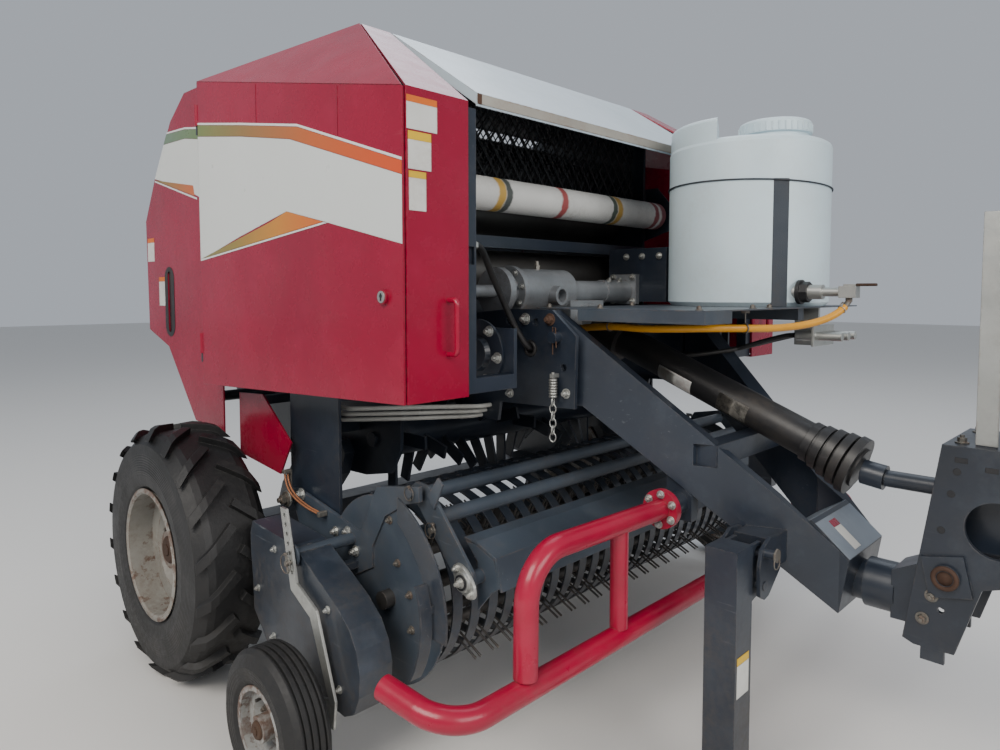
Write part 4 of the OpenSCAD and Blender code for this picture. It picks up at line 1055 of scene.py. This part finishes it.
# %% Tank hoop and strap
tank_foot = at(0.400, -1.272, 1.2330)
tank_radius, hoop_height = 0.270, 0.400
bm = bmesh.new()
add_ring(bm, tank_foot + Vector((0, 0, hoop_height)), (0.035, -0.02, 1), tank_radius + 0.0030, 0.0026, 96,
         sides=6)
make_piece("tank_hoop", bm, "chassis", strap_black, smooth=True)
bm = bmesh.new()
strap_way = Matrix.Rotation(math.radians(16.5), 4, "Z") @ Vector((-0.90124, -0.43333, 0.0))
strap_foot = tank_foot + strap_way * (tank_radius + 0.0006)
edge = [bm.verts.new(strap_foot), bm.verts.new(strap_foot + Vector((0, 0, 0.407)))]
bmesh.ops.spin(bm, geom=edge + [bm.edges.new(edge)], cent=tank_foot, axis=(0, 0, 1),
               angle=math.radians(10.8), steps=6, use_merge=False, use_duplicate=False)
bmesh.ops.solidify(bm, geom=bm.faces[:], thickness=-0.0020)
make_piece("tank_strap", bm, "chassis", strap_black)
print("tank hoop and strap")

# %% [markdown]
# The outlet has a black nut against the tank, and its valve a rusty lever with a worn plastic
# grip. The lid has a ring of shallow grips that a hand turns it by, made as small upright ribs.

# %% Outlet nut, lever grip and lid ribs
bm = bmesh.new()
add_rod(bm, at(0.272, -1.5460, 1.280), at(0.272, -1.5230, 1.280), 0.0330, 8)
add_rod(bm, at(0.272, -1.5230, 1.280), at(0.272, -1.5120, 1.280), 0.0390, 28)
make_piece("outlet_nut", bm, "chassis", black_plastic)
bm = bmesh.new()
add_block(bm, at(0.2615, -1.7430, 1.2975), at(0.2825, -1.6860, 1.3062), soften=0.003)
make_piece("lever_grip", bm, "chassis", rust)
bm = bmesh.new()
lid_centre, LID_RIBS = at(0.445, -1.345, 1.8250), 36
for k in range(LID_RIBS):
    turn = Matrix.Rotation(k * 2 * math.pi / LID_RIBS, 4, "Z")
    foot = lid_centre + turn @ Vector((0.1203, 0, 0))
    add_rod(bm, foot, foot + Vector((0, 0, 0.026)), 0.0026, 6)
make_piece("lid_ribs", bm, "chassis", tank_plastic)
print("outlet, lever and lid")

# %% [markdown]
# The drawbar's side plates carry the bearing of the gearbox's cross shaft and their own bolts,
# one of which has gone rusty on each side. Bolts stand on circles or at measured points. The
# gearbox has a breather on top, and a round grey flange with six bolts stands on each side wall.

# %% Bolts of the drawbar and the gearbox
PLATE_FACE, RIGHT = 0.4321, (-1, 0, 0)
ROLLER_Y, ROLLER_Z = -0.965, 1.105
bm, bm_rusty = bmesh.new(), bmesh.new()
side_bolts(bm, PLATE_FACE, 0.022, [(-0.969, 1.198)])
side_bolts(bm, PLATE_FACE, 0.018, [(-1.130, 0.985), (-0.905, 0.965)], 9)
bolt_circle(bm, at(-0.4461, -0.810, 1.060), RIGHT, 0.078, 4, 0.020, first=0.5)
for side, label in SIDES:
    add_bolt(bm_rusty, at(side * PLATE_FACE, -1.068, 1.199), (side, 0, 0), 0.022, turn=0.4)
    for k in range(6):
        turn = math.radians(126 + 60 * k)
        spot = at(side * 0.6298, ROLLER_Y + 0.080 * math.cos(turn), ROLLER_Z + 0.080 * math.sin(turn))
        add_bolt(bm, spot, (side, 0, 0), 0.019, turn=turn)
bolt_circle(bm, at(-0.3401, -0.800, 1.283), RIGHT, 0.070, 8, 0.013, first=0.2, stud=0)
for y in (-0.845, -0.755):
    for z in (1.245, 1.338):
        add_bolt(bm, at(0.3199, y, z), RIGHT, 0.015, turn=z * 7)
for x in (0.2024, 0.2700):
    add_bolt(bm, at(x, -0.8182, 1.3219), (0, -0.42, 0.91), 0.014, turn=x * 20)
for y in (-0.799, -0.872, -0.948):
    add_bolt(bm, at(0.3439, y, 1.418), RIGHT, 0.016, turn=y * 5)
make_piece("drive_bolts", bm, "chassis", zinc_steel)
make_piece("rusty_bolts", bm_rusty, "chassis", rust)
bm = bmesh.new()
add_rod(bm, at(-0.190, -0.800, 1.3560), at(-0.190, -0.800, 1.3720), 0.0120, 6)
add_rod(bm, at(-0.190, -0.800, 1.3720), at(-0.190, -0.800, 1.3860), 0.0085, 16, radius_end=0.006)
make_piece("gearbox_breather", bm, "chassis", dark_bolt)
bm = bmesh.new()
for side, label in SIDES:
    inner, face, end = (at(side * x, ROLLER_Y, ROLLER_Z) for x in (0.6219, 0.6298, 0.6440))
    add_rod(bm, inner, face, 0.098, 48)
    add_rod(bm, face, end, 0.052, 36, radius_end=0.044)
make_piece("roller_flanges", bm, "chassis", grey_paint)
print("drive bolts, breather and roller flanges")

# %% [markdown]
# Pins that are taken out by hand are held by spring clips: an R-clip in the bracket's pin and
# ring-shaped linch pins in the gauge wheel bars and the windguard's pivots. Rings are spun,
# and their small pins are thin rods.

# %% Clips and linch pins
def add_linch(bm, spot, out, ring_way, size):
    """A small pin across, with its spring ring folded over."""
    spot, out, ring_way = Vector(spot), Vector(out), Vector(ring_way).normalized()
    add_rod(bm, spot + ring_way * size * 0.9, spot - ring_way * size * 0.9, size * 0.11, 8)
    add_rod(bm, spot + ring_way * size * 0.95, spot + ring_way * size * 0.70, size * 0.20, 10)
    add_ring(bm, spot + out * size * 0.15, out, size * 0.85, size * 0.055, 28, sides=6, start=ring_way)


CLIP_X, CLIP_WIRE = 0.4530, 0.0019
bm, bm_gauge, bm_guard = bmesh.new(), bmesh.new(), bmesh.new()
for side, label in SIDES:
    out, clip_x = (side, 0, 0), side * CLIP_X
    add_rod(bm, at(clip_x, -1.0950, 1.1785), at(clip_x, -1.0950, 1.0980), CLIP_WIRE, 8)
    add_ring(bm, at(clip_x, -1.1000, 1.1760), (1, 0, 0), 0.0050, CLIP_WIRE, 16, sides=6)
    add_rod(bm, at(clip_x, -1.1050, 1.1770), at(clip_x, -1.1085, 1.1180), CLIP_WIRE, 8)
    add_rod(bm_gauge, at(side * 1.0843, -0.7020, 0.5470), at(side * 1.0990, -0.7020, 0.5470), 0.0075, 14)
    add_linch(bm_gauge, at(side * 1.0940, -0.7020, 0.5470), out, (0, 0.25, 1), 0.030)
    add_linch(bm_guard, at(side * 0.8800, -0.965, 0.748), out, (0, 0.2, 1), 0.022)
    add_rod(bm_guard, at(side * 0.8503, -1.028, 0.658), at(side * 0.8650, -1.028, 0.658), 0.0085, 16)
    add_linch(bm_guard, at(side * 0.8600, -1.028, 0.658), out, (0, -0.4, 1), 0.024)
make_piece("bracket_clips", bm, "chassis", rust)
make_piece("gauge_linch_pins", bm_gauge, "pickup", dark_bolt)
make_piece("windguard_linch_pins", bm_guard, "windguard", dark_bolt)
print("clips and linch pins")

# %% [markdown]
# The roller at the windguard's lower end turns in oval flange bearings, bright castings with
# two bolts, a black seal and the shaft's end. An oval is a cylinder scaled along the arm.

# %% Flange bearings of the windguard
slant = Matrix.Rotation(math.radians(45), 4, "X")
bm, bm_seal = bmesh.new(), bmesh.new()
for side, label in SIDES:
    hub, out = at(side * 0.8503, -1.150, 0.556), Vector((side, 0, 0))
    oval = Matrix.Translation(hub + out * 0.004) @ slant @ Matrix.Diagonal((1, 1, 0.58, 1)) @ aim(out)
    bmesh.ops.create_cone(bm, cap_ends=True, segments=36, radius1=0.050, radius2=0.047, depth=0.008,
                          matrix=oval)
    add_rod(bm, hub + out * 0.008, hub + out * 0.016, 0.0270, 28, radius_end=0.0250)
    for k in (-1, 1):
        add_bolt(bm, hub + out * 0.008 + slant @ Vector((0, k * 0.038, 0)), out, 0.013, turn=k)
    add_bolt(bm, hub + out * 0.0185, out, 0.017, stud=0.4)
    add_rod(bm_seal, hub + out * 0.016, hub + out * 0.0185, 0.0200, 24)
make_piece("windguard_flanges", bm, "windguard", zinc_steel)
make_piece("windguard_seals", bm_seal, "windguard", black_paint_and_hole_shade)
print("flange bearings")

# %% [markdown]
# The side shields are bolted on with small zinc bolts. A pair of copper grease lines curls down
# from the lift arm's boss to the reel's bearing, held by a small union at each end. Copper tube
# keeps the bend that it is given, so the lines are fixed curves and not hanging cords.

# %% Shield bolts and grease lines
bm = bmesh.new()
side_bolts(bm, 1.0601, 0.013, ((-0.572, 0.545), (-0.470, 0.402), (-0.849, 0.454), (-0.900, 0.260),
                               (-0.560, 0.285)), 11)
make_piece("shield_bolts", bm, "pickup", zinc_steel)
GREASE_ROUTE = ((0.9105, -0.3820, 0.7080), (0.9120, -0.3880, 0.6880), (0.9130, -0.4080, 0.6600),
                (0.9110, -0.4460, 0.6370), (0.9040, -0.4980, 0.6190), (0.8920, -0.5500, 0.6060))
for side, label in SIDES:
    for i, shift in enumerate((0.0, 0.010)):
        line = smooth_line([at(side * (x + shift), y, z) for x, y, z in GREASE_ROUTE], 4)
        make_line("grease_line_%d_%s" % (i + 1, label), line, 0.0034, "pickup", copper, 3)
    bm = bmesh.new()
    add_block(bm, at(side * 0.8772, -0.5590, 0.5980), at(side * 0.9080, -0.5470, 0.6140), soften=0.002)
    add_block(bm, at(side * 0.9042, -0.3910, 0.7040), at(side * 0.9260, -0.3730, 0.7160), soften=0.002)
    add_block(bm, at(side * 0.9003, -0.3910, 0.6150), at(side * 0.9045, -0.3730, 0.7160))
    make_piece("grease_unions_" + label, bm, "pickup", dark_bolt)
print("shield bolts and grease lines")

# %% [markdown]
# The crop guard bolts to the drawbar through round flanges with six bolts, and each lift arm
# turns on a big washered pin and is bolted to the pickup's frame below it.

# %% Bolts of the guard and the lift arms
LIFT_Y, LIFT_Z = -0.363, 0.617
bm = bmesh.new()
for side, label in SIDES:
    bolt_circle(bm, at(side * 0.3721, -1.410, 0.690), (side, 0, 0), 0.0415, 6, 0.014, first=0.2)
make_piece("guard_flange_bolts", bm, "chassis", zinc_steel)
bm, bm_nut = bmesh.new(), bmesh.new()
for side, label in SIDES:
    washer = at(side * 0.9060, LIFT_Y, LIFT_Z)
    add_rod(bm, at(side * 0.9003, LIFT_Y, LIFT_Z), washer, 0.0260, 28)
    add_bolt(bm_nut, washer, (side, 0, 0), 0.028)
side_bolts(bm, 0.8771, 0.024, [(-0.4096, 0.6355)], 9)
side_bolts(bm, 0.8771, 0.018, [(-0.6040, 0.5611), (-0.6683, 0.5763)], 9)
side_bolts(bm, 0.8771, 0.020, [(-0.7084, 0.5264)], 9)
side_bolts(bm_nut, 0.8711, 0.014, ((-0.8658, 0.6524), (-0.9001, 0.5406), (-0.9517, 0.4666),
                                   (-0.9592, 0.3725)), 9)
make_piece("lift_pin_washers", bm, "pickup", zinc_steel)
make_piece("lift_pin_nuts", bm_nut, "pickup", dark_bolt)
print("bolts of the guard and the lift arms")

# %% [markdown]
# The hitch box has a rusty bush in its lower eye and a few small holes in its side plates. The holes are
# too small to show any depth here, so each is painted shade: a dark disc or slot on the plate.

# %% Bushes and painted hole shade of the hitch box
HITCH_FACE = 0.1400
bm, bm_hole_shade = bmesh.new(), bmesh.new()
for side, label in SIDES:
    low, high = side * (HITCH_FACE + 0.0001), side * (HITCH_FACE + 0.0007)
    add_ring(bm, at(side * 0.1605, -2.040, 0.615), (1, 0, 0), 0.0235, 0.0060, 36, start=(0, 1, 0))
    add_rod(bm, at(side * HITCH_FACE, -2.040, 0.615), at(side * 0.1590, -2.040, 0.615), 0.0220, 28)
    # Painted shade: each small hole and slot below is a dark disc or block laid on the plate.
    for y, z in ((-2.0524, 0.8651), (-2.0421, 0.8114), (-2.0246, 0.7221)):
        add_rod(bm_hole_shade, at(low, y, z), at(high, y, z), 0.0085, 20)
    for y, z in ((-2.0600, 0.8930), (-2.1198, 0.8790)):
        add_block(bm_hole_shade, at(low, y - 0.013, z - 0.006), at(high, y + 0.013, z + 0.006))
make_piece("hitch_bushes", bm, "hitch_frame", rust, smooth=True)
make_piece("hitch_box_hole_shade", bm_hole_shade, "hitch_frame", black_paint_and_hole_shade)
print("bushes and holes of the hitch box")

# %% [markdown]
# A wheel is known by its nuts: six on the main wheels' discs, four on the gauge wheels, each
# with a rusty hub cap, and a valve stem near the rim. They ride on the wheel, so they turn.

# %% Wheel nuts, hub caps and valves
def hub_piece(kind, bm, wheel, label, material):
    make_piece("%s_%s_%s" % (wheel, kind, label), bm, "%s_%s" % (wheel, label), material)


for side, label in SIDES:
    out = Vector((side, 0, 0))
    for wheel, axle, disc_x, hub_x, ring, count, size, cap, valve in (
            ("wheel", MAIN_AXLE, 1.0972, 1.1412, 0.094, 6, 0.024, 0.046, 0.152),
            ("gauge", GAUGE_AXLE, 1.1962, 1.2402, 0.0455, 4, 0.014, 0.024, 0.066)):
        disc, hub = axle + out * disc_x, axle + out * hub_x
        bm = bmesh.new()
        bolt_circle(bm, disc, out, ring, count, size)
        hub_piece("nuts", bm, wheel, label, dark_bolt)
        bm = bmesh.new()
        add_rod(bm, hub + out * 0.0002, hub + out * 0.0060, cap, 32, radius_end=cap * 0.86)
        add_rod(bm, hub + out * 0.0060, hub + out * 0.0095, cap * 0.42, 6)
        hub_piece("cap", bm, wheel, label, rust)
        bm = bmesh.new()
        stem = disc - out * 0.001 + Vector((0, valve * 0.6, valve * 0.8))
        add_rod(bm, stem - out * 0.022, stem + out * 0.023, 0.0036, 12)
        add_rod(bm, stem + out * 0.022, stem + out * 0.030, 0.0044, 12)
        hub_piece("valve", bm, wheel, label, black_plastic)
print("wheel nuts, caps and valves")

# %% [markdown]
# A pale galvanised bar stands on the hitch. In the CAD it is one solid with the hitch box, which
# is grey, so four thin galvanised plates dress its four sides. The box itself has dark bolts.

# %% Galvanised mast and hitch bolts
mast_low, mast_high = (-0.1208, -2.1258, 0.9300), (-0.1132, -2.0822, 1.4605)
SKIN = 0.0006
bm = bmesh.new()
(x0, y0, z0), (x1, y1, z1) = mast_low, mast_high
for low, high in (((x0, y0, z0), (x0 + SKIN, y1, z1)), ((x1 - SKIN, y0, z0), (x1, y1, z1)),
                  ((x0 + SKIN, y0, z0), (x1 - SKIN, y0 + SKIN, z1)),
                  ((x0 + SKIN, y1 - SKIN, z0), (x1 - SKIN, y1, z1))):
    add_block(bm, at(*low), at(*high))
make_piece("mast_cover", bm, "hitch_frame", zinc_steel)
bm = bmesh.new()
side_bolts(bm, HITCH_FACE + 0.0001, 0.018, ((-1.992, 0.500), (-2.010, 0.560)))
for x in (-0.09, 0.09):
    add_bolt(bm, at(x, -2.05, 0.9252), (0, 0, 1), 0.018, turn=x * 9)
make_piece("hitch_bolts", bm, "hitch_frame", dark_bolt)
print("mast and hitch bolts")

# %% [markdown]
# The platform is a bolted sheet, the stand's pin has a washer and a clip, and the pickup's
# bands share one row of screws. These small things say how the machine comes apart.

# %% Platform, stand and band fasteners
bm = bmesh.new()
for x, y in ((-0.340, -1.500), (-0.340, -1.180), (-0.050, -1.510), (0.060, -1.510), (0.700, -1.500),
             (0.700, -1.000), (-0.340, -0.985), (0.120, -0.980)):
    add_bolt(bm, at(x, y, 1.2321), (0, 0, 1), 0.013, turn=x * 13, stud=0.2)
make_piece("sheet_bolts", bm, "chassis", dark_bolt)
bm = bmesh.new()
add_rod(bm, at(-0.330, -1.7152, 0.630), at(-0.330, -1.7200, 0.630), 0.0180, 6)
add_ring(bm, at(-0.330, -1.7175, 0.612), (0, 1, 0), 0.0160, 0.0018, 24, sides=6)
make_piece("stand_pin_clip", bm, "chassis", dark_bolt)
BAND_PITCH = 0.067
bm = bmesh.new()
for k in range(-12, 13):
    add_bolt(bm, at(k * BAND_PITCH, -0.950, 0.658), (0, -0.50, 0.866), 0.010, turn=k, stud=0)
make_piece("band_bolts", bm, "pickup", dark_bolt)
print("sheet, stand and band fasteners")

# %% [markdown]
# The studio: a pale floor that the tyres stand on, a soft sky, and three large soft lights, so
# that paint shows long highlights as it does outdoors towards evening.

# %% Floor and sky
bm = bmesh.new()
bmesh.ops.create_grid(bm, x_segments=1, y_segments=1, size=30.0)
floor_mesh = bpy.data.meshes.new("floor")
bm.to_mesh(floor_mesh)
bm.free()
floor = bpy.data.objects.new("floor", floor_mesh)
bpy.context.scene.collection.objects.link(floor)
floor_paint = bpy.data.materials.new("floor_paint")
floor_paint.use_nodes = True
floor_shader = floor_paint.node_tree.nodes["Principled BSDF"].inputs
floor_shader["Base Color"].default_value = (0.66, 0.65, 0.63, 1)
floor_shader["Roughness"].default_value = 0.8
floor_mesh.materials.append(floor_paint)
world = bpy.data.worlds.new("studio")
bpy.context.scene.world = world
world.use_nodes = True
sky = world.node_tree.nodes["Background"].inputs
sky["Color"].default_value, sky["Strength"].default_value = (0.80, 0.86, 0.95, 1), 0.52
print("floor and sky")

# %% [markdown]
# Large area lights give soft shadows. The key stands high on the right, where the evening light
# came from, a weaker one fills the front, and one overhead picks out the roof and the hood.

# %% Lights
def soft_light(name, place, target, size, power, colour):
    """A rectangular area light that looks from its place to a target."""
    data = bpy.data.lights.new(name, "AREA")
    data.shape = "RECTANGLE"
    data.size, data.size_y = size
    data.energy, data.color = power, colour
    light = bpy.data.objects.new(name, data)
    bpy.context.scene.collection.objects.link(light)
    light.location = place
    light.rotation_euler = (Vector(target) - Vector(place)).to_track_quat("-Z", "Y").to_euler()


soft_light("key", (-6.0, -1.5, 5.5), (0, 0, 1.0), (4.5, 3.5), 520, (1.0, 0.94, 0.86))
soft_light("front", (-1.0, -7.0, 4.0), (0, -0.5, 1.0), (5.0, 3.0), 300, (1.0, 0.97, 0.93))
soft_light("sky", (3.0, 2.0, 7.5), (0, 0, 1.0), (6.0, 6.0), 230, (0.84, 0.91, 1.0))
print("three lights")
